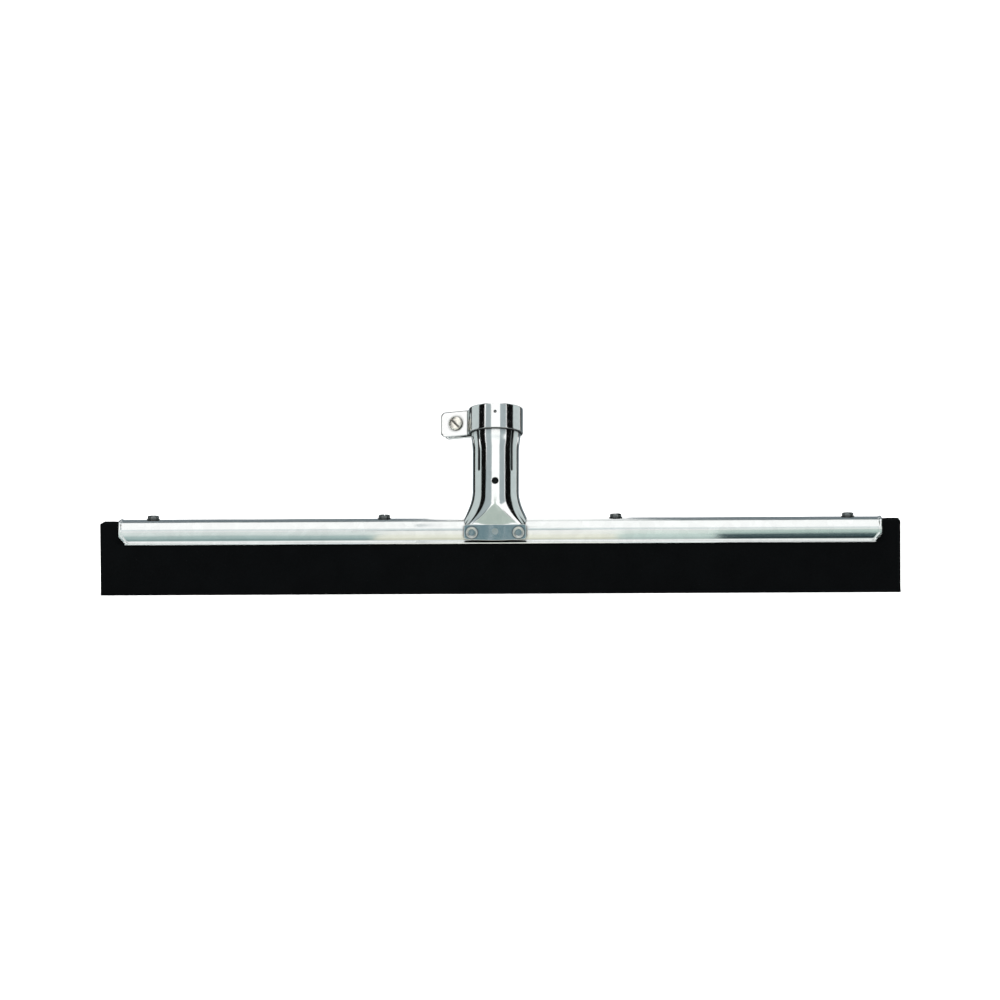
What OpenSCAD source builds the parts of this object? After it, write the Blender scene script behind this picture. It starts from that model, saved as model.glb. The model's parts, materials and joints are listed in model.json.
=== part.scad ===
// Floor squeegee head: two foam blades held in a folded steel channel, and a slotted tube
// socket with a clamp band for the handle.
// The origin is the middle of the front blade's bottom face. X runs along the blades, Y to the
// rear and Z up. Millimetres.

/* [Blades] */
// Length of the blades
blade_len = 550; // [300:5:900]
// Height of a blade, from the floor to its top edge
blade_h = 50; // [46:1:70]
// Thickness of one blade
blade_t = 9; // [8:0.5:12]
// How far the blades stick out of each end of the channel
blade_overhang = 12.5; // [4:0.5:20]
// Radius of the top corner at each end of a blade
blade_corner_r = 2.5; // [1:0.5:5]

/* [Core strip] */
// Thickness of the strip that spaces the blades
core_t = 7; // [6:0.5:12]
// Height of the strip
core_h = 14; // [13:0.5:16]
// How far the strip stops short of each end of the channel
core_inset = 3; // [1:0.5:10]

/* [Channel] */
// Thickness of the channel's sheet
sheet_t = 1.2; // [0.8:0.1:1.6]
// Height of the channel, from its lips to its top
channel_h = 16.8; // [16:0.2:20]
// Outside radius of its rounded shoulders
shoulder_r = 7; // [5:0.5:8]
// How far its walls lean in below the shoulders, in degrees
wall_lean = 10; // [4:1:14]
// Radius of the bend into each lip
lip_r = 1.5; // [1.2:0.1:2]
// How far the lips turn out, in degrees
lip_turn = 55; // [40:5:70]
// Length of the flat edge of each lip
lip_edge = 1; // [0.5:0.1:1.5]
// Length of the slanting cut at each lower corner
corner_cut_len = 5.2; // [3:0.2:8]
// Height of that cut
corner_cut_h = 6; // [4:0.5:8]
// Width of the raised rim around each end
rim_w = 1.5; // [1:0.1:2]
// Height of the rim above the sheet
rim_h = 0.6; // [0.3:0.1:0.8]

/* [Channel screws] */
// Number of screws along the channel
screw_count = 4; // [2:1:6]
// Distance from the outer screws to the ends of the channel
screw_end = 23.25; // [15:0.25:40]
// Diameter of the screws
screw_d = 4; // [3.5:0.1:4.5]
// Length under the head
screw_len = 12; // [8:0.5:13]
// Diameter of the heads
screw_head_d = 8; // [7:0.5:8.5]
// Height of the heads
screw_head_h = 2.4; // [2:0.1:3]
// Diameter of their washers
screw_washer_d = 9; // [8.5:0.5:12]
// Thickness of their washers
screw_washer_t = 0.8; // [0.5:0.1:1.2]

/* [Handle socket] */
// Inside diameter of the socket
socket_bore = 29; // [24:0.5:32]
// Thickness of the socket's sheet
socket_wall = 1.5; // [1.2:0.1:2]
// How far the socket leans back, in degrees
socket_lean = 16; // [8:1:25]
// How far the socket stands off the middle of the channel, to the right
socket_shift = -3; // [-60:1:60]
// Length along the socket's axis, from the middle of the channel to the top
socket_len = 86; // [80:1:120]
// Height along the axis at which the flare at the sides ends and the round tube starts
tube_start = 28; // [26:0.5:32]
// Height along the axis of the tip of the flat triangle above each foot
triangle_tip = 16.5; // [14:0.5:20]
// Height of the handle screw's hole above the start of the tube
hole_up = 3.4; // [3:0.2:6]
// Diameter of the handle screw's hole
hole_d = 4.8; // [4:0.1:5.5]
// Width of the four slots
slot_w = 2; // [1.5:0.1:3]
// Length of the slots, down from the top
slot_len = 46.3; // [38:0.1:48]
// How far the fingers between the slots splay under the band
splay = 1.25; // [0.6:0.05:2]
// Length over which the fingers splay
splay_len = 11; // [8:0.5:14]
// Gap between the two halves of the socket at each side
seam_gap = 0.4; // [0.2:0.1:0.8]

/* [Socket feet] */
// Width of the feet
foot_w = 42.8; // [40:0.2:60]
// Depth of the feet below the top of the channel
foot_drop = 14.2; // [13:0.1:14.4]
// Depth of the fold above each foot, below the top of the channel
fold_drop = 3.2; // [2.4:0.1:4]
// Plan radius of the socket's corners above the feet
foot_corner_r = 5; // [3.5:0.1:7]
// Rounding of the feet's own corners
foot_edge_r = 1.6; // [0.8:0.1:2.4]
// How far the bottom edge of a foot bows down in the middle
foot_bow = 1; // [0.5:0.1:1.4]
// Diameter of the pressed mark in the middle of each foot
foot_mark_d = 4.6; // [3:0.2:6]
// Depth of the mark
foot_mark_depth = 0.5; // [0.3:0.1:0.8]
// Height of the mark above the line of the rivets
foot_mark_up = 0.7; // [-1:0.1:2]

/* [Rivets] */
// Distance from each side of a foot to its rivet
rivet_inset = 5.35; // [5:0.05:7]
// Depth of the rivets below the top of the channel
rivet_drop = 8.7; // [8:0.1:9.4]
// Diameter of a rivet's shank
rivet_d = 4.8; // [4:0.1:5]
// Diameter of a rivet's head
rivet_head_d = 8.2; // [7.6:0.1:9]
// Height of a rivet's head
rivet_head_h = 0.7; // [0.5:0.1:1]
// Diameter of the dish in a rivet's head
rivet_dish_d = 6.6; // [4:0.1:6.8]
// Depth of the dish
rivet_dish_depth = 1.3; // [0.6:0.1:1.4]

/* [Clamp band] */
// Thickness of the band
band_t = 1.5; // [1.2:0.1:2]
// Height of the band along the socket
band_h = 17.8; // [14:0.2:20]
// Gap between the two ears
ear_gap = 6; // [5:0.5:8]
// Distance from the socket's axis to the end of the ears
ear_reach = 39.5; // [37:0.5:44]
// Radius of the ears' corners
ear_corner_r = 3.4; // [2:0.1:4]
// Inside radius of the bend from the band into an ear
ear_bend_r = 2; // [1.5:0.1:2.5]
// How far the ears are turned from the left towards the rear, in degrees
ear_turn = 20; // [0:1:22]
// Diameter of the punch mark that stakes the band to the front finger
stake_d = 2.2; // [1.5:0.1:3]
// Depth of the punch mark
stake_depth = 0.8; // [0.4:0.1:1]
// Height of the punch mark above the middle of the band
stake_up = 2.7; // [-4:0.1:4]

/* [Clamp screw] */
// Diameter of the clamp screw
clamp_d = 5; // [4:0.1:5]
// Length under the head
clamp_len = 20; // [19:0.5:25]
// Diameter of the head
clamp_head_d = 9.5; // [8.5:0.5:10]
// Height of the head
clamp_head_h = 3; // [2.5:0.1:3.5]
// Distance from the socket's axis to the clamp screw
clamp_reach = 28; // [27.5:0.5:29]
// Diameter of the washer under the nut
clamp_washer_d = 10; // [9:0.5:10]
// Thickness of the washer
clamp_washer_t = 1; // [0.8:0.1:1.2]
// Width of the square nut
clamp_nut_w = 8; // [7:0.5:9]
// Thickness of the nut
clamp_nut_h = 4; // [3:0.5:5]

/* [Fits] */
// Clearance between soft foam and what holds it
foam_fit = 0.1; // [0.05:0.05:0.2]
// Clearance around screws and rivets in their holes
hole_fit = 0.1; // [0.05:0.05:0.3]
// Running clearance of a thread, on the radius
thread_fit = 0.05; // [0.03:0.01:0.08]
// Clearance between pressed sheets that lie on each other
sheet_fit = 0.05; // [0.02:0.01:0.15]

/* [Hidden] */

$fn = 48;
tube_fn = 96;
// Steps of small arcs, of the channel's shoulders and of the feet's long bow
arc_steps = 8;
shoulder_steps = 12;
bow_steps = 16;
// Overshoot of a cut past the face that it opens, and length of a cut that goes right through
over = 1;
through = 2 * socket_len;
front = -1;
rear = 1;
left = -1;
right = 1;

// Middle plane between the blades, and the channel's main heights and half depths
mid_y = (core_t + blade_t) / 2;
channel_len = blade_len - 2 * blade_overhang;
channel_top = blade_h + sheet_t;
channel_bottom = channel_top - channel_h;
foam_half = core_t / 2 + blade_t;
// Turn of the foam round the bend of the lip, in degrees
swell_turn = 35;
channel_half = foam_half + sheet_t;
web_z = channel_top - sheet_t;

// Centres of the shoulder and lip bends, as [depth, height]
shoulder_at = [channel_half - shoulder_r, channel_top - shoulder_r];
wall_out = [cos(wall_lean), -sin(wall_lean)];
wall_down = [-sin(wall_lean), -cos(wall_lean)];
lip_low = (lip_r + sheet_t) * sin(lip_turn) + lip_edge * cos(lip_turn);
wall_len = (shoulder_at.y - (shoulder_r + lip_r) * sin(wall_lean) - lip_low - channel_bottom)
           / cos(wall_lean);
lip_at = shoulder_at + (shoulder_r + lip_r) * wall_out + wall_len * wall_down;

// Channel screws. They stop at different turns.
screw_pitch = (channel_len - 2 * screw_end) / (screw_count - 1);
screw_hole_r = screw_d / 2 + hole_fit;
screw_turn_first = 35;
screw_turn_step = 50;

// Slotted heads: slot width for head diameter, and slot depth and edge rounding for head height
slot_w_ratio = 0.15;
slot_depth_ratio = 0.45;
head_round_ratio = 0.6;
// Length of a screw's pointed tip for its diameter
tip_ratio = 0.5;

// Feet and rivets
foot_half = channel_half + sheet_fit + socket_wall;
fold_z = channel_top - fold_drop;
foot_bottom = channel_top - foot_drop;
rivet_z = channel_top - rivet_drop;
rivet_half_spread = foot_w / 2 - rivet_inset;
rivet_hole_r = rivet_d / 2 + hole_fit;
// The flared wall laps inside the sheet above and below it, a hair thinner than that sheet
lap = 0.6;
lap_skin = 0.05;

// Socket tube. Its front line runs straight into the fold above the front foot.
tube_r = socket_bore / 2 + socket_wall;
axis_z = fold_z - (tube_r * cos(socket_lean) - foot_half) / tan(socket_lean)
         - tube_r * sin(socket_lean);
hole_s = tube_start + hole_up;
slot_s = socket_len - slot_len;
band_s = socket_len - band_h;
splay_s = band_s - splay_len;
finger_r = tube_r + splay;

// Steps of the flared wall: columns around one quarter, and points up each column
flat_steps = 5;
corner_steps = 8;
side_steps = 7;
quarter_steps = flat_steps + corner_steps + side_steps;
rise_steps = 9;
// Turn of the tube that the flat, the corner and the side take, in degrees
flat_turn = 12;
side_turn = 72;
// Shortest straight stretch below the round tube, and the reach of the flare's end tangents
straight_min = 1;
flare_top_pull = 3;
flare_foot_pull = 8;

// Clamp band
band_ir = finger_r + sheet_fit;
band_or = band_ir + band_t;
ear_out = ear_gap / 2 + band_t;
bend_v = ear_out + ear_bend_r;
bend_u = sqrt(pow(band_or + ear_bend_r, 2) - pow(bend_v, 2));
clamp_s = band_s + band_h / 2;
clamp_slot_turn = 45;

// Helpers

// Points of an arc about a centre, between two angles
function arc(centre, radius, from, to, steps = arc_steps) =
    [for (i = [0:steps])
        let (a = from + (to - from) * i / steps)
        centre + radius * [cos(a), sin(a)]];

function reversed(list) = [for (i = [len(list) - 1:-1:0]) list[i]];

function mirrored(line) = [for (p = reversed(line)) [-p.x, p.y]];

function unit(v) = v / norm(v);

// Radius of the circle, or of the ball, that bows by a rise over a width
function bow_radius(width, rise) = (pow(width / 2, 2) + pow(rise, 2)) / (2 * rise);

// Draws a [depth, height] outline along X, or a [length, height] outline along Y
module along_x(length) {
    rotate([90, 0, 90]) linear_extrude(length, center = true) children();
}

module along_y(depth) {
    rotate([90, 0, 0]) linear_extrude(depth, center = true) children();
}

module at_middle() {
    translate([0, mid_y, 0]) children();
}

// Places a piece on the socket's leaning axis, s above the point where it crosses the middle
module on_axis(s = 0) {
    translate([socket_shift, mid_y, axis_z]) rotate([-socket_lean, 0, 0])
        translate([0, 0, s]) children();
}

// Places a piece on the clamp screw: +Z runs out of the head, 0 is the middle of the ear gap
module on_clamp() {
    on_axis(clamp_s) rotate([0, 0, 180 - ear_turn]) translate([clamp_reach, 0, 0])
        rotate([-90, 0, 0]) children();
}

module at_screw(i) {
    translate([(i - (screw_count - 1) / 2) * screw_pitch, mid_y, channel_top]) children();
}

// Places a piece on a rivet's axis: +Z runs to the front, 0 is the middle of the channel
module at_rivet(side) {
    translate([socket_shift + side * rivet_half_spread, mid_y, rivet_z])
        rotate([90, 0, 0]) children();
}

// Holes for the channel screws, and through everything that the two rivets join
module screw_holes(r, h) {
    for (i = [0:screw_count - 1]) at_screw(i) cylinder(r = r, h = h, center = true);
}

module rivet_holes() {
    for (side = [left, right]) at_rivet(side) cylinder(r = rivet_hole_r, h = through, center = true);
}

// Channel

// Half of the sheet's line, d outside its outer face, from the middle of the web to a lip
function channel_line(d) = concat(
    [[0, channel_top + d]],
    arc(shoulder_at, shoulder_r + d, 90, -wall_lean, shoulder_steps),
    arc(lip_at, lip_r - d, 180 - wall_lean, 180 + lip_turn),
    [lip_at - (lip_r - d) * [cos(lip_turn), sin(lip_turn)]
        + lip_edge * [sin(lip_turn), -cos(lip_turn)]]);

function both_sides(line) = concat(mirrored(line), [for (i = [1:len(line) - 1]) line[i]]);

module channel_sheet(outer, inner) {
    polygon(concat(both_sides(channel_line(outer)), reversed(both_sides(channel_line(inner)))));
}

// Side view of the channel, drawn in by an inset at its ends and cut corners
module channel_outline(inset) {
    half = channel_len / 2 - inset;
    high = channel_top + over;
    low = channel_bottom - over;
    cut_z = channel_bottom + corner_cut_h
            + inset * (norm([corner_cut_len, corner_cut_h]) - corner_cut_h) / corner_cut_len;
    run = (cut_z - low) * corner_cut_len / corner_cut_h;
    polygon([[-half + run, low], [half - run, low], [half, cut_z],
             [half, high], [-half, high], [-half, cut_z]]);
}

module frame_channel() {
    color("gainsboro") difference() {
        at_middle() union() {
            intersection() {
                along_x(channel_len) channel_sheet(0, -sheet_t);
                along_y(through) channel_outline(0);
            }
            intersection() {
                along_x(channel_len) channel_sheet(rim_h, -sheet_t / 2);
                along_y(through) difference() {
                    channel_outline(0);
                    channel_outline(rim_w);
                }
            }
        }
        screw_holes(screw_hole_r, through);
        rivet_holes();
    }
}

// Core strip and blades

module core_strip() {
    color("dimgray") difference() {
        translate([-channel_len / 2 + core_inset, mid_y - core_t / 2, web_z - core_h])
            cube([channel_len - 2 * core_inset, core_t, core_h]);
        screw_holes(screw_d / 2 + thread_fit, 2 * (screw_len + over));
        rivet_holes();
    }
}

// Section of the rear blade: it fills the channel, is pinched by the lip and swells below it
module blade_section() {
    skin = sheet_t + foam_fit;
    inner = core_t / 2 + foam_fit;
    polygon(concat(
        [[inner, 0], [inner, web_z - foam_fit]],
        arc(shoulder_at, shoulder_r - skin, 90, -wall_lean),
        arc(lip_at, lip_r + skin, 180 - wall_lean, 180 + swell_turn),
        [[foam_half, channel_bottom - foam_fit], [foam_half, 0]]));
}

module blade(side) {
    half = blade_len / 2;
    corner = [half - blade_corner_r, blade_h - foam_fit - blade_corner_r];
    right_end = concat([[half, 0]], arc(corner, blade_corner_r, 0, 90));
    color([0.09, 0.09, 0.1]) difference() {
        at_middle() intersection() {
            along_x(blade_len) mirror([side == front ? 1 : 0, 0]) blade_section();
            along_y(through) polygon(concat(mirrored(right_end), right_end));
        }
        rivet_holes();
    }
}

module front_blade() {
    blade(front);
}

module rear_blade() {
    blade(rear);
}

// Screws, washers and rivets

// Section of a slotted pan head, standing on its seat
module pan_head(d, h) {
    round_r = head_round_ratio * h;
    difference() {
        rotate_extrude() polygon(concat(
            [[0, 0], [d / 2, 0]],
            arc([d / 2 - round_r, h - round_r], round_r, 0, 90),
            [[0, h]]));
        translate([0, 0, h])
            cube([2 * d, slot_w_ratio * d, 2 * slot_depth_ratio * h], center = true);
    }
}

// A flat ring standing on its lower face
module washer(d, hole_r, thickness) {
    difference() {
        cylinder(d = d, h = thickness);
        translate([0, 0, -over]) cylinder(r = hole_r, h = thickness + 2 * over);
    }
}

module channel_screw(i) {
    shank_r = screw_d / 2;
    color("silver") at_screw(i) translate([0, 0, screw_washer_t]) {
        rotate([0, 0, screw_turn_first + i * screw_turn_step]) pan_head(screw_head_d, screw_head_h);
        rotate_extrude() polygon([[0, 0], [shank_r, 0], [shank_r, tip_ratio * screw_d - screw_len],
                                  [0, -screw_len]]);
    }
}

module screw_washer(i) {
    color("silver") at_screw(i) washer(screw_washer_d, screw_hole_r, screw_washer_t);
}

// A through rivet with a dished head on each foot
module foot_rivet(side) {
    dish_r = bow_radius(rivet_dish_d, rivet_dish_depth);
    dish_at = foot_half + rivet_head_h - rivet_dish_depth + dish_r;
    color("lightgray") at_rivet(side) difference() {
        union() {
            cylinder(d = rivet_d, h = 2 * foot_half, center = true);
            both_ends() translate([0, 0, foot_half])
                cylinder(d1 = rivet_head_d, d2 = rivet_head_d - rivet_head_h, h = rivet_head_h);
        }
        both_ends() translate([0, 0, dish_at]) sphere(r = dish_r);
    }
}

module both_ends() {
    for (turn = [0, 180]) rotate([turn, 0, 0]) children();
}

// Handle socket, pressed as a front and a rear half

// Plan of the wall's foot, inset by d, as [distance from the middle, depth from the middle]
function foot_plan(k, side, d) =
    let (half_w = foot_w / 2 - d,
         half_d = foot_half - d,
         r = foot_corner_r - d,
         seam_y = (channel_top - axis_z) * tan(socket_lean),
         seam = side * seam_y + seam_gap / 2 + lap_skin,
         turn = 90 * (k - flat_steps) / corner_steps,
         along = (k - flat_steps - corner_steps) / side_steps)
    k <= flat_steps ? [(half_w - r) * k / flat_steps, half_d]
    : k <= flat_steps + corner_steps ? [half_w - r + r * sin(turn), half_d - r + r * cos(turn)]
    : [half_w, (half_d - r) * (1 - along) + seam * along];

// Height of the channel's top or shoulder at a depth from its middle
function shoulder_z(depth) =
    let (past = max(abs(depth) - shoulder_at.x, 0))
    shoulder_at.y + sqrt(max(pow(shoulder_r, 2) - pow(past, 2), 0));

// The wall rises out of the foot at the front, and stands just clear of the channel at the sides
function foot_z(k, side) =
    k <= flat_steps ? fold_z - lap_skin
    : max(fold_z, shoulder_z(foot_plan(k, side, socket_wall).y) + sheet_fit) + lap_skin;

// Turns a point from the channel's directions to the socket's own
function to_axis(p) =
    let (z = p.z - axis_z)
    [p.x, p.y * cos(socket_lean) - z * sin(socket_lean), p.y * sin(socket_lean) + z * cos(socket_lean)];

function tube_turn(k, r) =
    let (end = 90 - asin((seam_gap / 2 + lap_skin) / r),
         corner_end = flat_steps + corner_steps)
    k <= flat_steps ? flat_turn * k / flat_steps
    : k <= corner_end ? flat_turn + (side_turn - flat_turn) * (k - flat_steps) / corner_steps
    : side_turn + (end - side_turn) * (k - corner_end) / side_steps;

// One column of the wall, from the foot to the round tube, inset by d
function wall_column(k, hand, side, d) =
    let (r = tube_r - d,
         turn = tube_turn(k, r),
         plan = foot_plan(k, side, d),
         foot = [hand * plan.x, side * plan.y, foot_z(k, side)],
         base = to_axis(foot),
         lap_end = to_axis(foot - [0, 0, k <= flat_steps ? lap : lap_skin / 2]),
         end_s = triangle_tip + (tube_start - straight_min - triangle_tip) * pow(sin(turn), 2),
         tube_x = hand * r * sin(turn),
         tube_y = side * r * cos(turn),
         end = [tube_x, tube_y, end_s],
         share = min(max((k - flat_steps) / corner_steps, 0), 1),
         lead = unit((1 - share) * unit(end - base) + share * [0, 0, 1]),
         pull_a = base + flare_foot_pull * lead,
         pull_b = end - [0, 0, flare_top_pull])
    concat(
        [lap_end],
        [for (i = [0:rise_steps])
            let (t = i / rise_steps, u = 1 - t)
            u * u * u * base + 3 * u * u * t * pull_a + 3 * u * t * t * pull_b + t * t * t * end],
        [[tube_x, tube_y, tube_start + lap]]);

// The flared wall of one half, as a closed shell between its outer and inner columns
module flared_wall(side) {
    columns = [for (c = [-quarter_steps:quarter_steps])
        let (k = abs(c), hand = (c < 0 ? 1 : -1) * side)
        concat(wall_column(k, hand, side, lap_skin),
               reversed(wall_column(k, hand, side, socket_wall - lap_skin)))];
    n = len(columns[0]);
    last = (len(columns) - 1) * n;
    skin = [for (c = [0:len(columns) - 2], p = [0:n - 1], half = [0, 1])
        let (a = c * n + p, b = c * n + (p + 1) % n)
        half == 0 ? [a, b, b + n] : [a, b + n, a + n]];
    seams = [for (i = [0:n / 2 - 2], end = [0, 1])
        let (quad = [i, n - 1 - i, n - 2 - i, i + 1])
        end == 0 ? quad : [for (p = reversed(quad)) p + last]];
    polyhedron(points = [for (column = columns) each column], faces = concat(skin, seams));
}

// The round tube and its splayed fingers
module tube() {
    inner = tube_r - socket_wall;
    rotate_extrude($fn = tube_fn) polygon([
        [inner, tube_start], [tube_r, tube_start], [tube_r, splay_s], [finger_r, band_s],
        [finger_r, socket_len], [finger_r - socket_wall, socket_len],
        [finger_r - socket_wall, band_s], [inner, splay_s]]);
}

module slots() {
    for (turn = [45:90:315]) rotate([0, 0, turn]) {
        translate([0, -slot_w / 2, slot_s + slot_w / 2]) cube([2 * tube_r, slot_w, socket_len]);
        translate([0, 0, slot_s + slot_w / 2]) rotate([0, 90, 0]) cylinder(d = slot_w, h = 2 * tube_r);
    }
}

// A foot hangs from the fold below the flared wall
module foot(side) {
    corner_x = foot_w / 2 - foot_edge_r;
    bow_r = bow_radius(foot_w, foot_bow);
    bow_turn = asin(corner_x / bow_r);
    bow_z = foot_bottom + bow_r;
    corner_z = bow_z - bow_r * cos(bow_turn) + foot_edge_r;
    right_side = concat(
        arc([corner_x, corner_z], foot_edge_r, -90, 0),
        arc([corner_x, fold_z - foot_edge_r], foot_edge_r, 0, 90));
    mark_r = bow_radius(foot_mark_d, foot_mark_depth);
    translate([socket_shift, mid_y, 0]) difference() {
        translate([0, side * (foot_half - socket_wall / 2), 0]) along_y(socket_wall)
            polygon(concat(arc([0, bow_z], bow_r, -90 - bow_turn, -90 + bow_turn, bow_steps),
                           right_side, mirrored(right_side)));
        translate([0, side * (foot_half - foot_mark_depth + mark_r), rivet_z + foot_mark_up])
            rotate([90, 0, 0]) sphere(r = mark_r);
    }
}

module socket_half(side) {
    color("lightsteelblue") difference() {
        union() {
            on_axis() {
                flared_wall(side);
                intersection() {
                    tube();
                    translate([0, side * (through + seam_gap) / 2, tube_start])
                        cube([through, through, through], center = true);
                }
            }
            foot(side);
        }
        on_axis() slots();
        rivet_holes();
        if (side == front) on_axis(hole_s) rotate([90, 0, 0]) cylinder(d = hole_d, h = 2 * tube_r);
    }
}

module socket_front() {
    socket_half(front);
}

module socket_rear() {
    socket_half(rear);
}

// Clamp band and its screw. In the band's own plane, +X runs along the ears.

// One side of the band: the bend and the straight ear
module ear_section() {
    intersection() {
        translate([bend_u, bend_v]) difference() {
            circle(r = ear_bend_r + band_t);
            circle(r = ear_bend_r);
        }
        polygon([[bend_u, bend_v], [0, 0], [bend_u, 0]]);
    }
    translate([bend_u, ear_gap / 2]) square([ear_reach - bend_u, band_t]);
}

module band_section() {
    difference() {
        circle(r = band_or, $fn = tube_fn);
        circle(r = band_ir, $fn = tube_fn);
        polygon([[0, 0], [bend_u, bend_v], [bend_u, -bend_v]]);
    }
    for (side = [0, 1]) mirror([0, side]) ear_section();
}

// Side view of the ears, with their rounded outer corners, and all of the band behind them
module ear_outline() {
    corner = [ear_reach - ear_corner_r, band_h / 2 - ear_corner_r];
    top = concat([[-2 * band_or, band_h / 2]], reversed(arc(corner, ear_corner_r, 0, 90)));
    polygon(concat(top, reversed([for (p = top) [p.x, -p.y]])));
}

module clamp_band() {
    stake_r = bow_radius(stake_d, stake_depth);
    color("silver") difference() {
        on_axis(clamp_s) rotate([0, 0, 180 - ear_turn]) intersection() {
            linear_extrude(band_h, center = true) band_section();
            along_y(through) ear_outline();
        }
        on_clamp() cylinder(r = clamp_d / 2 + 2 * hole_fit, h = through, center = true);
        on_axis(clamp_s + stake_up) translate([0, stake_depth - stake_r - band_or, 0])
            rotate([0, 0, 45]) sphere(r = stake_r);
    }
}

module clamp_screw() {
    color("whitesmoke") on_clamp() {
        translate([0, 0, ear_out]) rotate([0, 0, clamp_slot_turn])
            pan_head(clamp_head_d, clamp_head_h);
        translate([0, 0, ear_out - clamp_len]) cylinder(d = clamp_d, h = clamp_len);
    }
}

module clamp_washer() {
    color("silver") on_clamp() translate([0, 0, -ear_out - clamp_washer_t])
        washer(clamp_washer_d, clamp_d / 2 + hole_fit, clamp_washer_t);
}

module clamp_nut() {
    color("gray") on_clamp() translate([0, 0, -ear_out - clamp_washer_t - clamp_nut_h / 2])
        difference() {
            cube([clamp_nut_w, clamp_nut_w, clamp_nut_h], center = true);
            cylinder(r = clamp_d / 2 + thread_fit, h = through, center = true);
        }
}

frame_channel();
core_strip();
front_blade();
rear_blade();
for (i = [0:screw_count - 1]) {
    channel_screw(i);
    screw_washer(i);
}
socket_front();
socket_rear();
foot_rivet(left);  // foot_rivet_left
foot_rivet(right);  // foot_rivet_right
clamp_band();
clamp_screw();
clamp_nut();
clamp_washer();
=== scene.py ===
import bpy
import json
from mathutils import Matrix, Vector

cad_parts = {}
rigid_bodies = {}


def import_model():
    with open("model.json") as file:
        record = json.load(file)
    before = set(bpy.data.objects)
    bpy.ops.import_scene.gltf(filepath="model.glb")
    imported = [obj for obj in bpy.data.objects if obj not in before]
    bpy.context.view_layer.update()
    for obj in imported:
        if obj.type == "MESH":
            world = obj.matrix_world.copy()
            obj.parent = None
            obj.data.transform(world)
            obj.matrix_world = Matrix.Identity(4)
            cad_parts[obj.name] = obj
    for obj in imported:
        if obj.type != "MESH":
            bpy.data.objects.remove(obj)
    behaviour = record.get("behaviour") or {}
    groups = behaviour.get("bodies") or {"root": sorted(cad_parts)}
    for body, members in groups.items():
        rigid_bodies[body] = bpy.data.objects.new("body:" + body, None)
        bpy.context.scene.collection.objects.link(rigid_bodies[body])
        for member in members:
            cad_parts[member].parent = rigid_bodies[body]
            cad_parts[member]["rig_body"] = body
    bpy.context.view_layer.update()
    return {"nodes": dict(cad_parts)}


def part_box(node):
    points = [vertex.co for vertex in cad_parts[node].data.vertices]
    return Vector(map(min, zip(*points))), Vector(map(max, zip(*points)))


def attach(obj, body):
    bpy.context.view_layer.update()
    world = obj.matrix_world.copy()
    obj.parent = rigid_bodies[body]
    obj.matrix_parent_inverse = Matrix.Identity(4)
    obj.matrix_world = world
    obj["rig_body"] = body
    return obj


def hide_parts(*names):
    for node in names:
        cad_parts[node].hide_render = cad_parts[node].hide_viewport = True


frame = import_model()

import json
import math
from types import SimpleNamespace

import bmesh
import bpy
import numpy as np
from bpy.props import FloatProperty, FloatVectorProperty, IntProperty, PointerProperty
from mathutils import Matrix, Quaternion, Vector

bl_info = {
    "name": "Floor squeegee head",
    "version": (1, 0, 0),
    "blender": (4, 5, 0),
    "location": "3D View > Sidebar > Squeegee",
    "description": "Builds the looks of a floor squeegee head on its packed frame",
    "category": "Object",
}

MM = 0.001
# Points nearer to each other than this are one point
JOIN = 0.002 * MM
# Gap between pieces that lie on or in each other
FIT = 0.05 * MM
# Distances from a free edge at which a sheet has a row of points, so that the edge is round
EDGE = MM * np.array([0, 0.04, 0.1, 0.2, 0.34, 0.55, 0.9])
# Turn of the slots from the middle of each half of the socket
SLOT_TURN = math.radians(45)
FRONT = -1
REAR = 1


def extent(node, axis):
    """Length of a CAD node's box along an axis, in metres."""
    low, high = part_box(node)
    return round(high[axis] - low[axis], 5)


def length(name, description, default):
    """A length that is never negative, in metres."""
    return FloatProperty(name=name, description=description, default=default, min=0,
                         unit="LENGTH", precision=5)


def angle(name, description, degrees):
    """An angle, whose default is given in degrees."""
    return FloatProperty(name=name, description=description, default=math.radians(degrees),
                         subtype="ANGLE")


def colour(name, description, default):
    """A colour, as its shares of red, green and blue light."""
    return FloatVectorProperty(name=name, description=description, default=default,
                               subtype="COLOR", min=0, max=1)


def share(name, description, default):
    """A value from 0 to 1."""
    return FloatProperty(name=name, description=description, default=default, min=0, max=1,
                         subtype="FACTOR")


# Sizes and colours

class SqueegeeBlades(bpy.types.PropertyGroup):
    """Foam blades and the strip between them"""
    length: length("Length", "Length of the blades", extent("front_blade", 0))
    height: length("Height", "Height of the blades", 50 * MM)
    thickness: length("Thickness", "Thickness of one blade", 9 * MM)
    gap: length("Gap", "Thickness of the strip between the blades", 7 * MM)
    corner: length("Corner", "Radius of the top corner at each end", 1.4 * MM)
    edge: length("Edge", "Rounding of the cut edges", 0.6 * MM)
    swell: length("Swell", "How far the foam swells below the channel's lips", 0.25 * MM)
    pore: length("Pore", "Size of the foam's pores", 0.7 * MM)
    colour: colour("Foam", "Colour of the foam", (0.0012, 0.0015, 0.0017))
    strip_colour: colour("Strip", "Colour of the strip", (0.05, 0.05, 0.052))


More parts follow.
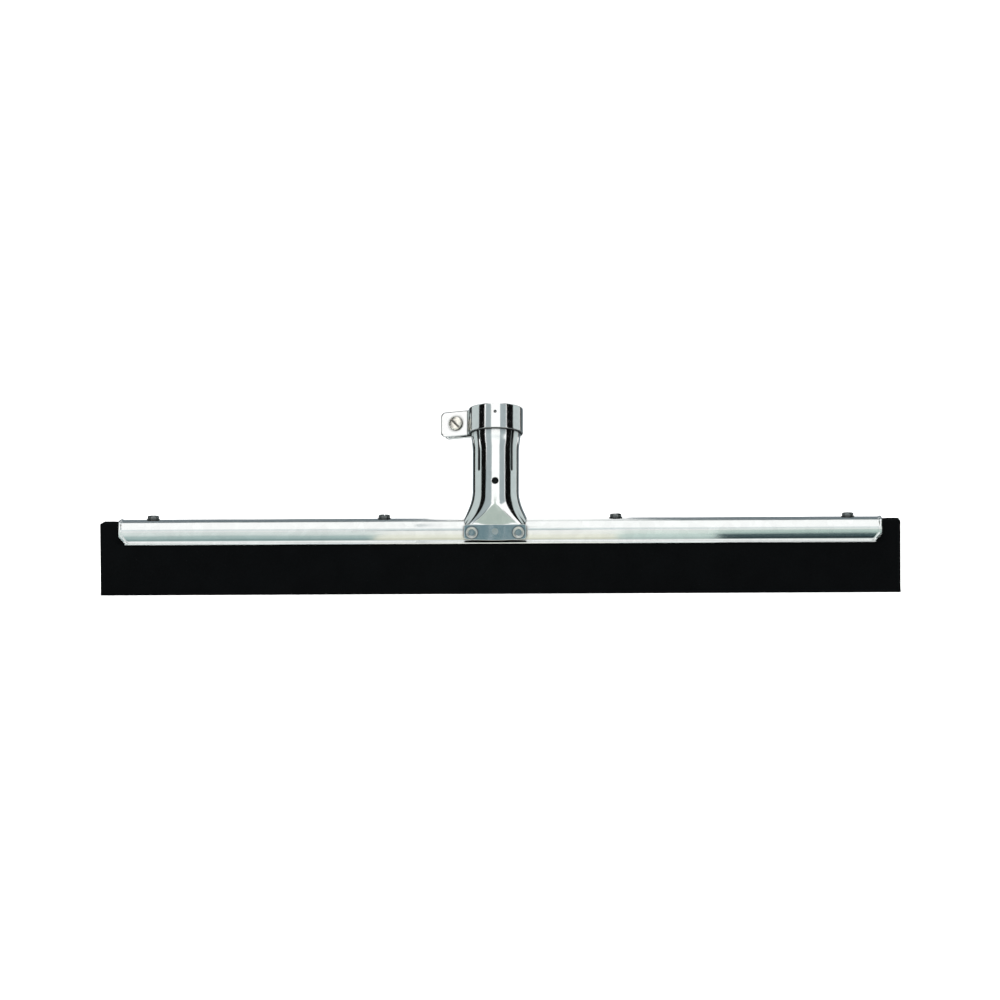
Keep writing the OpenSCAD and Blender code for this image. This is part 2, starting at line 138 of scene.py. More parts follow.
class SqueegeeChannel(bpy.types.PropertyGroup):
    """Folded steel channel"""
    length: length("Length", "Length of the channel", extent("frame_channel", 0))
    height: length("Height", "Height from the lips to the top", 16.8 * MM)
    sheet: length("Sheet", "Thickness of the sheet", 1.2 * MM)
    shoulder: length("Shoulder", "Outside radius of the shoulders", 7 * MM)
    lean: angle("Lean", "How far the walls lean in", 10)
    bow: length("Bow", "How far the walls bow outwards", 0.13 * MM)
    lip_radius: length("Lip radius", "Radius of the bend into each lip", 1.5 * MM)
    lip_turn: angle("Lip turn", "How far the lips turn out", 55)
    lip_edge: length("Lip edge", "Length of the flat edge of each lip", 1 * MM)
    cut_length: length("Cut length", "Length of the cut at each lower corner", 5.2 * MM)
    cut_height: length("Cut height", "Height of the cut at each lower corner", 6 * MM)
    rim_width: length("Rim width", "Width of the bead around each end", 2 * MM)
    rim_height: length("Rim height", "Height of the bead above the sheet", 0.5 * MM)
    wave: length("Wave", "Height of the waves left by rolling", 0.03 * MM)
    colour: colour("Colour", "Colour of the galvanised steel", (0.80, 0.82, 0.81))
    roughness: share("Roughness", "Roughness of the galvanised steel", 0.15)


class SqueegeeScrews(bpy.types.PropertyGroup):
    """Screws along the channel, and their washers"""
    count: IntProperty(name="Count", description="Number of screws", default=4, min=2, max=6)
    end: length("End", "Distance from the outer screws to the channel's ends", 23.25 * MM)
    shank: length("Shank", "Diameter of the shank", 4 * MM)
    length: length("Length", "Length under the head", 12 * MM)
    head: length("Head", "Diameter of the head", 8 * MM)
    head_height: length("Head height", "Height of the head", 2.4 * MM)
    washer: length("Washer", "Diameter of the washer", 9 * MM)
    washer_height: length("Washer height", "Thickness of the washer", 0.8 * MM)
    slot_ratio: share("Slot", "Width of a slot for the diameter of the head", 0.15)
    colour: colour("Colour", "Colour of the screws and washers", (0.17, 0.18, 0.18))
    roughness: share("Roughness", "Roughness of the screws and washers", 0.28)


class SqueegeeSocket(bpy.types.PropertyGroup):
    """Handle socket, pressed as a front and a rear half"""
    bore: length("Bore", "Inside diameter of the tube", 29 * MM)
    wall: length("Wall", "Thickness of the sheet", 1.5 * MM)
    lean: angle("Lean", "How far the socket leans back", 16)
    shift: FloatProperty(name="Shift", description="How far the socket stands off the middle",
                         default=-3 * MM, unit="LENGTH", precision=5)
    length: length("Length", "Length along the axis", 86 * MM)
    tube_start: length("Tube start", "Height at which the round tube starts", 28 * MM)
    tip: length("Tip", "Height of the tip of the flat triangle", 19 * MM)
    flat_turn: angle("Flat", "Turn of the tube that the flat triangle meets", 5)
    side_turn: angle("Side", "Turn of the tube where the flat side starts", 72)
    fold: length("Fold", "Height of the pressed folds beside the triangle", 0.35 * MM)
    slot: length("Slot", "Width of the four slots", 2 * MM)
    slot_length: length("Slot length", "Length of the slots", 46.3 * MM)
    splay: length("Splay", "How far the fingers splay", 1.25 * MM)
    splay_length: length("Splay length", "Length over which the fingers splay", 11 * MM)
    seam: length("Seam", "Gap between the two halves", 0.4 * MM)
    hole: length("Hole", "Diameter of the handle screw's hole", 4.8 * MM)
    hole_up: length("Hole height", "Height of the hole above the tube's start", 3.4 * MM)
    foot_width: length("Foot width", "Width of the feet", 42.8 * MM)
    foot_drop: length("Foot drop", "Depth of the feet below the channel's top", 14.2 * MM)
    fold_drop: length("Fold drop", "Depth of the fold below the channel's top", 3.2 * MM)
    corner: length("Corner", "Plan radius of the corners above the feet", 5 * MM)
    foot_edge: length("Foot edge", "Rounding of the feet's own corners", 1.6 * MM)
    foot_bow: length("Foot bow", "How far the bottom edge of a foot bows down", 1 * MM)
    mark: length("Mark", "Diameter of the pressed mark in each foot", 4.6 * MM)
    mark_depth: length("Mark depth", "Depth of the pressed mark", 0.14 * MM)
    mark_up: length("Mark height", "Height of the pressed mark above the rivets", 0.7 * MM)
    mark_colour: colour("Mark colour", "Colour of the dull steel in the pressed mark",
                        (0.34, 0.40, 0.41))
    colour: colour("Colour", "Colour of the zinc-plated steel", (0.86, 0.88, 0.87))
    # The inside colour is painted shade: the inside of the tube, the cut faces of the slots and the
    # underside of the clamp band's ring get it for the shadow there
    inside: colour("Inside", "Colour of the dull steel inside the tube", (0.20, 0.21, 0.21))
    roughness: share("Roughness", "Roughness of the zinc-plated steel", 0.09)


class SqueegeeRivets(bpy.types.PropertyGroup):
    """Rivets through the feet"""
    spread: length("Spread", "Distance from the socket's middle to a rivet", 16.05 * MM)
    drop: length("Drop", "Depth of the rivets below the channel's top", 8.7 * MM)
    shank: length("Shank", "Diameter of the shank", 4.8 * MM)
    head: length("Head", "Diameter of the head", 8.2 * MM)
    head_height: length("Head height", "Height of the head", 0.7 * MM)
    dish: length("Dish", "Diameter of the dish in the head", 6.6 * MM)
    dish_depth: length("Dish depth", "Depth of the dish", 1.3 * MM)
    colour: colour("Colour", "Colour of the rivets", (0.60, 0.63, 0.62))
    roughness: share("Roughness", "Roughness of the rivets", 0.36)


class SqueegeeClamp(bpy.types.PropertyGroup):
    """Clamp band and the screw, nut and washer that close it"""
    thickness: length("Thickness", "Thickness of the band", 1.5 * MM)
    height: length("Height", "Height of the band", 17.8 * MM)
    gap: length("Gap", "Gap between the ears", 6 * MM)
    reach: length("Reach", "Distance from the axis to the end of the ears", 39.5 * MM)
    corner: length("Corner", "Radius of the ears' corners", 3.4 * MM)
    bend: length("Bend", "Inside radius of the bend into an ear", 2 * MM)
    turn: angle("Turn", "Turn of the ears from the left towards the rear", 20)
    mark: length("Mark", "Diameter of the punch mark", 2.2 * MM)
    mark_depth: length("Mark depth", "Depth of the punch mark", 0.8 * MM)
    mark_up: length("Mark height", "Height of the mark above the band's middle", 2.7 * MM)
    screw: length("Screw", "Diameter of the clamp screw", 5 * MM)
    screw_length: length("Screw length", "Length of the screw under its head", 20 * MM)
    screw_reach: length("Screw reach", "Distance from the axis to the screw", 28 * MM)
    pitch: length("Pitch", "Pitch of the thread", 0.8 * MM)
    head: length("Head", "Diameter of the screw's head", 9.5 * MM)
    head_height: length("Head height", "Height of the screw's head", 3 * MM)
    washer: length("Washer", "Diameter of the washer", 10 * MM)
    washer_height: length("Washer height", "Thickness of the washer", 1 * MM)
    nut: length("Nut", "Width of the square nut", 8 * MM)
    nut_height: length("Nut height", "Thickness of the nut", 4 * MM)
    colour: colour("Colour", "Colour of the band", (0.87, 0.88, 0.87))
    roughness: share("Roughness", "Roughness of the band", 0.10)
    screw_colour: colour("Screw colour", "Colour of the screw, nut and washer",
                         (0.95, 0.92, 0.84))
    screw_roughness: share("Screw roughness", "Roughness of the screw, nut and washer", 0.25)


class SqueegeeStage(bpy.types.PropertyGroup):
    """Floor, light and camera"""
    floor: colour("Floor", "Colour of the floor", (0.97, 0.97, 0.97))
    light: FloatProperty(name="Light", description="Strength of the surrounding light",
                         default=1.25, min=0)
    azimuth: angle("Azimuth", "Turn of the camera round the squeegee", 1.6)
    elevation: angle("Elevation", "Height of the camera above the horizon", 3)
    roll: angle("Roll", "Roll of the camera", -0.36)
    distance: FloatProperty(name="Distance", description="Distance of the camera",
                            default=4.01, min=0.5, unit="LENGTH")
    target: FloatVectorProperty(name="Target", description="Point that the camera looks at",
                                default=(0.34 * MM, 0, 64.4 * MM), subtype="XYZ",
                                unit="LENGTH", precision=5)
    lens: FloatProperty(name="Lens", description="Focal length of the lens", default=210,
                        unit="CAMERA")


class SqueegeeSettings(bpy.types.PropertyGroup):
    """Everything that can be set"""
    blades: PointerProperty(type=SqueegeeBlades)
    channel: PointerProperty(type=SqueegeeChannel)
    screws: PointerProperty(type=SqueegeeScrews)
    socket: PointerProperty(type=SqueegeeSocket)
    rivets: PointerProperty(type=SqueegeeRivets)
    clamp: PointerProperty(type=SqueegeeClamp)
    stage: PointerProperty(type=SqueegeeStage)


# Lines and points

def arc(centre, radius, start, end, steps):
    """Points of an arc, turning from start to end in radians."""
    turn = np.linspace(start, end, steps + 1)
    return np.column_stack((centre[0] + radius * np.cos(turn), centre[1] + radius * np.sin(turn)))


def between(a, b, steps):
    """The points between a and b, without the two themselves."""
    t = np.linspace(0, 1, steps + 1)[1:-1, None]
    return (1 - t) * np.asarray(a) + t * np.asarray(b)


def spaced(start, end, step, at_end=True):
    """Positions a step apart, and closer together near a free edge at the start or both ends."""
    first = start + EDGE
    last = end - EDGE[::-1] if at_end else np.array([end])
    count = max(int(round((last[0] - first[-1]) / step)), 1)
    middle = np.linspace(first[-1], last[0], count + 1)[1:-1]
    return np.concatenate((first, middle, last))


def rounded(corners, cuts, steps=5):
    """A line through corners, where each corner is rounded off from cuts[i] before to after it."""
    corners = np.asarray(corners, float)
    t = np.linspace(0, 1, steps + 1)[:, None]
    line = [corners[:1]]
    for before, at, after, cut in zip(corners, corners[1:], corners[2:], cuts[1:]):
        if cut == 0:
            line.append(at[None])
            continue
        a = at + cut * (before - at) / np.linalg.norm(before - at)
        b = at + cut * (after - at) / np.linalg.norm(after - at)
        line.append((1 - t) ** 2 * a + 2 * t * (1 - t) * at + t ** 2 * b)
    line.append(corners[-1:])
    return np.vstack(line)


def smooth(x):
    """0 below 0, 1 above 1, and smooth between."""
    x = np.clip(x, 0, 1)
    return x * x * (3 - 2 * x)


def bow_radius(width, rise):
    """Radius of the circle or ball that bows by a rise over a width."""
    return ((width / 2) ** 2 + rise ** 2) / (2 * rise)


# Meshes

def grid_shell(points, wrap_rows=False, wrap_columns=False):
    """Points and faces of a grid, [row, column, xyz]."""
    rows, columns = points.shape[:2]
    i, j = np.meshgrid(np.arange(rows - (not wrap_rows)), np.arange(columns - (not wrap_columns)),
                       indexing="ij")
    down, right = (i + 1) % rows, (j + 1) % columns
    faces = np.stack((i * columns + j, i * columns + right, down * columns + right,
                      down * columns + j), axis=-1)
    return points.reshape(-1, 3), faces.reshape(-1, 4).tolist()


def sheet_shells(outer, inner, edge, rounding):
    """The two skins of a sheet. They meet in a round edge where the distance to a free edge is 0."""
    rise = np.sqrt(1 - (1 - np.clip(edge / rounding, 0, 1)) ** 2)[..., None]
    middle, half = (outer + inner) / 2, (outer - inner) / 2
    return [grid_shell(middle + rise * half), grid_shell(middle - rise * half)]


def lathe_shell(profile, segments=80, closed=False):
    """A profile of [radius, height] turned about Z."""
    turn = np.linspace(0, 2 * math.pi, segments, endpoint=False)
    radius, height = profile[:, :1], profile[:, 1:]
    points = np.stack((radius * np.cos(turn), radius * np.sin(turn), height + 0 * turn), axis=-1)
    return grid_shell(points, wrap_rows=closed, wrap_columns=True)


def loft_shell(rings):
    """A tube through rings of points, closed by a face at each end."""
    points, faces = grid_shell(rings, wrap_columns=True)
    count = rings.shape[1]
    last = len(points) - count
    return points, faces + [list(range(count)), list(range(last, last + count))]


def box_shell(low, high):
    """A box between two opposite corners."""
    corners = np.array([[x, y, z] for x in (low[0], high[0]) for y in (low[1], high[1])
                        for z in (low[2], high[2])])
    return corners, [[0, 1, 3, 2], [4, 6, 7, 5], [0, 4, 5, 1], [2, 3, 7, 6], [0, 2, 6, 4],
                     [1, 5, 7, 3]]


def ball_shell(radius, segments=64):
    """A ball round 0."""
    line = arc((0, 0), radius, -math.pi / 2, math.pi / 2, segments // 2)
    line[[0, -1], 0] = 0
    return lathe_shell(line, segments)


def smooth_object(name, mesh):
    """An object with a mesh that is shaded smooth."""
    mesh.polygons.foreach_set("use_smooth", [True] * len(mesh.polygons))
    made = bpy.data.objects.new(name, mesh)
    bpy.context.scene.collection.objects.link(made)
    return made


def solid(name, *shells):
    """An object of shells, with the points that lie on each other joined."""
    points, faces, start = [], [], 0
    for shell_points, shell_faces in shells:
        points.append(shell_points)
        faces += [[start + i for i in face] for face in shell_faces]
        start += len(shell_points)
    mesh = bpy.data.meshes.new(name)
    mesh.from_pydata(np.concatenate(points).tolist(), [], faces)
    work = bmesh.new()
    work.from_mesh(mesh)
    bmesh.ops.remove_doubles(work, verts=work.verts, dist=JOIN)
    bmesh.ops.recalc_face_normals(work, faces=work.faces)
    work.to_mesh(mesh)
    work.free()
    return smooth_object(name, mesh)


def bake(obj):
    """Turns an object's modifiers into its mesh."""
    depsgraph = bpy.context.evaluated_depsgraph_get()
    mesh = bpy.data.meshes.new_from_object(obj.evaluated_get(depsgraph))
    obj.modifiers.clear()
    obj.data = mesh


def cut(obj, tool, at=Matrix.Identity(4), operation="DIFFERENCE"):
    """Cuts obj with a tool put in its place, which is used up."""
    tool.matrix_world = at
    bpy.context.view_layer.update()
    modifier = obj.modifiers.new("cut", "BOOLEAN")
    modifier.operation = operation
    modifier.solver = "MANIFOLD"
    modifier.object = tool
    bake(obj)
    bpy.data.objects.remove(tool)
    if not obj.data.polygons:
        raise RuntimeError(f"nothing is left of {obj.name}")


def soften(obj, width, limit=50):
    """Rounds the sharp edges of obj, and shades the rest smooth."""
    bevel = obj.modifiers.new("soft edges", "BEVEL")
    bevel.width = width
    bevel.segments = 3
    bevel.limit_method = "ANGLE"
    bevel.angle_limit = math.radians(limit)
    obj.data.polygons.foreach_set("use_smooth", [True] * len(obj.data.polygons))
    normals = obj.modifiers.new("even shading", "WEIGHTED_NORMAL")
    normals.keep_sharp = True


def join(name, *objs):
    """One object of several, which are used up."""
    work = bmesh.new()
    for obj in objs:
        bake(obj)
        work.from_mesh(obj.data)
        bpy.data.objects.remove(obj)
    mesh = bpy.data.meshes.new(name)
    work.to_mesh(mesh)
    work.free()
    return smooth_object(name, mesh)


def place(obj, node, slot, *materials, at=Matrix.Identity(4)):
    """Puts obj in its place as the look of a CAD node, on the node's body."""
    obj.data.transform(at)
    faces = obj.data.polygons
    # Clearing the materials forgets which face has which, so that is kept and set again
    kinds = [min(face.material_index, len(materials) - 1) for face in faces]
    obj.data.materials.clear()
    for each in materials:
        obj.data.materials.append(each)
    faces.foreach_set("material_index", kinds)
    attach(obj, frame["nodes"][node]["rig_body"])
    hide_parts(node)
    return obj


# Materials

class Nodes:
    """Adds shader nodes to a new material."""

    def __init__(self, name):
        self.material = bpy.data.materials.new(name)
        self.material.use_nodes = True
        self.tree = self.material.node_tree
        self.shader = self.tree.nodes["Principled BSDF"]

    def add(self, kind, inputs=(), **settings):
        """A node whose inputs are values, or the sockets that they are linked from."""
        node = self.tree.nodes.new("ShaderNode" + kind)
        for name, value in settings.items():
            setattr(node, name, value)
        for key, value in dict(inputs).items():
            self.feed(node.inputs[key], value)
        return node

    def feed(self, socket, value):
        """Sets a socket to a value, or links it from another socket."""
        if isinstance(value, bpy.types.NodeSocket):
            self.tree.links.new(value, socket)
        else:
            socket.default_value = value

    def place_scaled(self, scale):
        """Object coordinates, scaled in each direction."""
        at = self.add("TexCoord").outputs["Object"]
        return self.add("Mapping", {"Vector": at, "Scale": scale}).outputs["Vector"]

    def noise(self, scale, size, detail=3.0):
        """Even noise, or streaks where the scale differs between directions."""
        return self.add("TexNoise", {"Vector": self.place_scaled(scale), "Scale": size,
                                     "Detail": detail}).outputs[0]

    def ranged(self, value, low, high, start=0.3, end=0.7):
        """A value between start and end, moved to between low and high."""
        return self.add("MapRange", {"Value": value, "From Min": start, "From Max": end,
                                     "To Min": low, "To Max": high}).outputs["Result"]

    def mixed(self, factor, first, second):
        """The first colour at 0, and the second at 1. The node's colour sockets share their names
        with sockets of other kinds, so they go by number."""
        node = self.add("Mix", data_type="RGBA")
        self.feed(node.inputs[0], factor)
        self.feed(node.inputs[6], (*first, 1))
        self.feed(node.inputs[7], (*second, 1))
        return node.outputs[2]

    def bump(self, height, distance, strength=1.0):
        """Normals of a surface that rises by a distance where the height is 1."""
        return self.add("Bump", {"Height": height, "Distance": distance,
                                 "Strength": strength}).outputs["Normal"]


def steel(name, tint, roughness, streaks=(6, 900, 900), crystal=5 * MM, depth=0.004 * MM,
          reach=2.5 * MM, shade=(0.5, 0.92)):
    """Zinc-coated steel, with streaks from rolling, faint crystals, fine pits, and painted shade that
    darkens its corners. streaks is how fine they are along X, Y and Z, and depth is how deep they and
    the pits are. The painted shade darkens corners within a reach, and shade gives how open a place
    is where the painted shade is darkest and where there is none."""
    n = Nodes(name)
    at = n.place_scaled((1, 1, 1))
    crystals = n.add("TexVoronoi", {"Vector": at, "Scale": 1 / crystal}).outputs["Color"]
    cell = n.add("RGBToBW", {"Color": crystals}).outputs["Val"]
    streak = n.noise(streaks, 1.0, 4.0)
    cloud = n.noise((1, 1, 1), 45.0, 2.0)
    pits = n.noise((1, 1, 1), 2600.0, 3.0)
    dark = tuple(0.9 * c for c in tint)
    # Near-black tint of the painted shade in corners and crevices
    painted_shade = tuple(0.08 * c for c in tint)
    patchy = n.add("Math", {0: n.ranged(cell, 0, 0.6, 0, 1), 1: n.ranged(cloud, 0, 0.4)},
                   operation="ADD").outputs[0]
    # Painted shade: ambient occlusion darkens the base colour where parts meet, for shadows such as
    # the dark line under the clamp band
    corners = n.add("AmbientOcclusion", {"Distance": reach}, samples=8).outputs["AO"]
    unshaded = n.ranged(corners, 0, 1, *shade)
    mix = n.add("Mix", {0: unshaded, 6: (*painted_shade, 1), 7: n.mixed(patchy, tint, dark)}, data_type="RGBA")
    n.feed(n.shader.inputs["Base Color"], mix.outputs[2])
    n.feed(n.shader.inputs["Roughness"], n.ranged(streak, 0.75 * roughness, 1.3 * roughness))
    marks = n.add("Math", {0: streak, 1: pits}, operation="ADD").outputs[0]
    n.feed(n.shader.inputs["Normal"], n.bump(marks, depth))
    n.shader.inputs["Metallic"].default_value = 1
    return n.material


def foam(name, tint, pore):
    """Closed-cell foam rubber with a cut, dull skin."""
    n = Nodes(name)
    at = n.place_scaled((1, 1, 1))
    cells = n.add("TexVoronoi", {"Vector": at, "Scale": 1 / pore}).outputs["Distance"]
    fine = n.noise((1, 1, 1), 4000.0, 3.0)
    cloud = n.noise((1, 1, 1), 60.0, 2.0)
    height = n.add("Math", {0: cells, 1: fine}, operation="ADD").outputs[0]
    pale = tuple(1.4 * c for c in tint)
    n.feed(n.shader.inputs["Base Color"], n.mixed(n.ranged(cloud, 0, 0.7), tint, pale))
    n.feed(n.shader.inputs["Normal"], n.bump(height, 0.12 * MM, 0.7))
    n.shader.inputs["Roughness"].default_value = 0.95
    n.shader.inputs["Specular IOR Level"].default_value = 0.04
    return n.material


def plastic(name, tint):
    """Extruded plastic with faint lines along X."""
    n = Nodes(name)
    lines = n.noise((5, 1800, 1800), 1.0, 3.0)
    pale = tuple(1.4 * c for c in tint)
    n.feed(n.shader.inputs["Base Color"], n.mixed(n.ranged(lines, 0, 1), tint, pale))
    n.feed(n.shader.inputs["Normal"], n.bump(lines, 0.02 * MM))
    n.shader.inputs["Roughness"].default_value = 0.5
    return n.material


# Places

def section(settings):
    """Places in the channel's section. Points and directions are [depth from its middle, height]."""
    blades, channel = settings.blades, settings.channel
    s = SimpleNamespace()
    s.mid_y = (blades.gap + blades.thickness) / 2
    s.foam_half = blades.gap / 2 + blades.thickness
    s.half = s.foam_half + channel.sheet
    s.top = blades.height + channel.sheet
    s.bottom = s.top - channel.height
    s.shoulder_at = np.array([s.half - channel.shoulder, s.top - channel.shoulder])
    s.wall_out = np.array([math.cos(channel.lean), -math.sin(channel.lean)])
    s.wall_down = np.array([-math.sin(channel.lean), -math.cos(channel.lean)])
    # The wall runs straight between the bends of the shoulder and the lip, and the lip's end is at
    # the bottom
    lip_low = ((channel.lip_radius + channel.sheet) * math.sin(channel.lip_turn)
               + channel.lip_edge * math.cos(channel.lip_turn))
    reach = channel.shoulder + channel.lip_radius
    wall = (s.shoulder_at[1] - reach * math.sin(channel.lean) - lip_low
            - s.bottom) / math.cos(channel.lean)
    s.lip_at = s.shoulder_at + reach * s.wall_out + wall * s.wall_down
    return s


def socket_shape(settings):
    """Radii of the socket, and the places of its axis, foot, band and clamp screw. A name that ends
    in _s is a height along the axis."""
    socket, line = settings.socket, section(settings)
    s = SimpleNamespace(line=line)
    s.radius = socket.bore / 2 + socket.wall
    s.finger = s.radius + socket.splay
    s.foot_half = line.half + FIT + socket.wall
    s.fold_z = line.top - socket.fold_drop
    # The front of the tube, carried on down, meets the front of the foot at the fold
    s.axis_z = (s.fold_z - (s.radius * math.cos(socket.lean) - s.foot_half) / math.tan(socket.lean)
                - s.radius * math.sin(socket.lean))
    s.band_s = socket.length - settings.clamp.height
    s.splay_s = s.band_s - socket.splay_length
    s.slot_s = socket.length - socket.slot_length
    s.slot_round_s = s.slot_s + socket.slot / 2
    s.hole_s = socket.tube_start + socket.hole_up
    s.clamp_s = socket.length - settings.clamp.height / 2
    s.seam_turn = math.pi / 2 - math.asin(socket.seam / 2 / (s.radius - socket.wall / 2))
    s.axis = (Matrix.Translation((socket.shift, line.mid_y, s.axis_z))
              @ Matrix.Rotation(-socket.lean, 4, "X"))
    s.band = (s.axis @ Matrix.Translation((0, 0, s.clamp_s))
              @ Matrix.Rotation(math.pi - settings.clamp.turn, 4, "Z"))
    s.foot = s.axis.inverted() @ Matrix.Translation((socket.shift, line.mid_y, 0))
    s.screw = (s.band @ Matrix.Translation((settings.clamp.screw_reach, 0, 0))
               @ Matrix.Rotation(-math.pi / 2, 4, "X"))
    return s


# Channel, strip and blades

def channel_line(channel, line, d):
    """Half of the sheet's line, d outside its outer face, from the middle of the web to a lip."""
    turn = channel.lip_turn
    top = np.array([[0, line.top + d]])
    shoulder = arc(line.shoulder_at, channel.shoulder + d, math.pi / 2, -channel.lean, 18)
    lip = arc(line.lip_at, channel.lip_radius - d, math.pi - channel.lean, math.pi + turn, 12)
    edge = lip[-1] + channel.lip_edge * np.array([math.sin(turn), -math.cos(turn)])
    near_edge = np.array([0.4, 0.66, 0.82, 0.92, 0.97])[:, None]
    t = between([0], [1], 12)
    wall = between(shoulder[-1], lip[0], 12) + channel.bow * 4 * t * (1 - t) * line.wall_out
    return np.vstack((top, between(top[0], shoulder[0], 9), shoulder, wall, lip,
                      (1 - near_edge) * lip[-1] + near_edge * edge, edge[None]))


def channel_object(settings):
    """The channel, with its ends cut back at the lower corners and beaded."""
    channel, line = settings.channel, section(settings)
    half = channel_line(channel, line, 0)
    out = (channel_line(channel, line, MM) - half) / MM
    face = np.vstack((half[:0:-1] * [-1, 1], half))
    normal = np.vstack((out[:0:-1] * [-1, 1], out))
    middle = face - normal * channel.sheet / 2
    along = np.concatenate(([0], np.cumsum(np.linalg.norm(np.diff(middle, axis=0), axis=1))))
    to_lip = np.minimum(along, along[-1] - along)

    # Rows of points at each end: close together over the bead, and wider behind it
    inset = MM * np.array([0, .04, .1, .18, .3, .45, .6, .75, .9, 1.05, 1.2, 1.32, 1.42, 1.5, 1.62,
                           1.85, 2.3, 3, 4.5, 7, 12])
    reach = channel.length / 2
    slant = math.hypot(channel.cut_length, channel.cut_height)
    cut_z = (line.bottom + channel.cut_height
             + inset * (slant - channel.cut_height) / channel.cut_length)
    back = np.maximum(cut_z[:, None] - face[:, 1], 0) * channel.cut_length / channel.cut_height
    # Rows follow the cut near the end, and straighten towards the last one
    back *= 1 - smooth((inset[:, None] - channel.rim_width) / (inset[-1] - channel.rim_width))
    right = reach - inset[:, None] - back
    count = int((channel.length - 2 * inset[-1]) / (5 * MM))
    inner = np.linspace(-reach + inset[-1], reach - inset[-1], count + 1)[1:-1]
    x = np.vstack((-right, np.repeat(inner[:, None], len(face), axis=1), right[::-1]))
    to_end = np.concatenate((inset, reach - np.abs(inner), inset[::-1]))

    bead = channel.rim_height * np.sqrt(
        np.clip(1 - (2 * to_end / channel.rim_width - 1) ** 2, 0, 1))[:, None]
    slanted = np.sin(x / (23 * MM) + 9 * np.linspace(0, 1, len(face)))
    upright_wave = np.sin(x / (9.7 * MM) + 3)
    wave = channel.wave * (slanted + upright_wave) * smooth(to_end[:, None] / (9 * MM))
    rise = bead + wave
    outer = np.stack((x, line.mid_y + face[:, 0] + rise * normal[:, 0],
                      face[:, 1] + rise * normal[:, 1]), axis=-1)
    under = wave - channel.sheet
    inside = np.stack((x, line.mid_y + face[:, 0] + under * normal[:, 0],
                       face[:, 1] + under * normal[:, 1]), axis=-1)
    edge = np.minimum(to_end[:, None], to_lip)
    return solid("channel", *sheet_shells(outer, inside, edge, 0.42 * channel.sheet))


def strip_object():
    """The strip between the blades, which fills its CAD node's box."""
    strip = solid("strip", box_shell(*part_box("core_strip")))
    soften(strip, 0.4 * MM)
    return strip


def blade_lines(settings):
    """Sections of a blade where the channel pinches it, and where it sticks out."""
    line, blades, channel = section(settings), settings.blades, settings.channel
    fit = 2 * FIT
    skin = channel.sheet + fit
    inner = blades.gap / 2 + fit
    top = blades.height - fit
    e = 0.4 * MM

    def ring(shoulder, lip):
        """Once round a blade, from the strip's side over the top and down the outside."""
        start = np.array([[inner, e], *between((inner, e), (inner, top - e), 24), [inner, top - e],
                          [inner + 0.3 * e, top - 0.3 * e]])
        roof = np.array([[inner + e, top], *between((inner + e, top), shoulder[0], 3)])
        wall = between(shoulder[-1], lip[0], 7)
        low = np.array([line.foam_half, line.bottom - fit])
        side = np.array([*between(lip[-1], low, 3), low,
                         *between(low, (line.foam_half, e), 22), [line.foam_half, e],
                         [line.foam_half - 0.3 * e, 0.3 * e], [line.foam_half - e, 0]])
        floor = between((line.foam_half - e, 0), (inner + e, 0), 6)
        return np.vstack((start, roof, shoulder, wall, lip, side, floor,
                          [[inner + e, 0], [inner + 0.3 * e, 0.3 * e]]))

    # Both sections have as many points, so that one can turn into the other
    steps, hug = 10, math.radians(35)
    pinched = ring(arc(line.shoulder_at, channel.shoulder - skin, math.pi / 2, -channel.lean, steps),
                   arc(line.lip_at, channel.lip_radius + skin, math.pi - channel.lean,
                       math.pi + hug, steps))
    free_r = 1.2 * MM
    shoulder = arc((line.foam_half - free_r, top - free_r), free_r, math.pi / 2, 0, steps)
    lip_z = np.linspace(line.lip_at[1] + 1 * MM, line.lip_at[1] - 2.2 * MM, steps + 1)
    free = ring(shoulder, np.column_stack((np.full(steps + 1, line.foam_half), lip_z)))
    # The foam swells most a little below the lips
    swell = blades.swell * np.exp(-((pinched[:, 1] - line.bottom + 3.5 * MM) / (4 * MM)) ** 2)
    pinched[:, 0] += np.where((pinched[:, 0] > line.foam_half - 0.01 * MM)
                              & (pinched[:, 1] < line.bottom), swell, 0)
    return pinched, free


def blade_object(settings, name, side):
    """A blade, pinched inside the channel and free at its ends, which stick out."""
    line, blades, channel = section(settings), settings.blades, settings.channel
    pinched, free = blade_lines(settings)
    half = blades.length / 2
    # Sections at each end: close together on the rounded edge and where the channel lets go
    near = MM * np.array([0, .04, .1, .2, .35, .6, 1, 1.5, 2, 2.5, 3.5, 5, 7, 9, 10.5, 11.5, 12.5,
                          13.5, 15, 17])
    count = int((blades.length - 2 * near[-1]) / (7 * MM))
    inner = np.linspace(-half + near[-1], half - near[-1], count + 1)[1:-1]
    stations = np.concatenate((-half + near, inner, half - near[::-1]))
    rings = []
    for x in stations:
        # 0 until just inside the channel's end, and 1 from 5 mm past it
        out = smooth((abs(x) - channel.length / 2 + 1 * MM) / (6 * MM))
        ring = (1 - out) * pinched + out * free
        to_end = half - abs(x)
        e, r = max(blades.edge - to_end, 0), max(blades.corner - to_end, 0)
        edge = blades.edge - math.sqrt(blades.edge ** 2 - e ** 2)
        drop = blades.corner - math.sqrt(blades.corner ** 2 - r ** 2)
        low, high = ring.min(axis=0), ring.max(axis=0)
        y = np.clip(ring[:, 0], low[0] + edge, high[0] - edge)
        z = np.clip(ring[:, 1], edge, high[1] - drop)
        rings.append(np.column_stack((np.full(len(ring), x), line.mid_y + side * y, z)))
    return solid(name, loft_shell(np.array(rings)))


# Screws, washers and rivets

def head_profile(diameter, height):
    """A domed head standing on 0, from its rim's foot to the axis."""
    r = diameter / 2
    return rounded([(r - 0.3 * MM, 0), (r, 0), (r, 0.88 * height), (0.55 * r, height), (0, height)],
                   [0, 0.15 * MM, 0.36 * height, 0.18 * r, 0], 7)


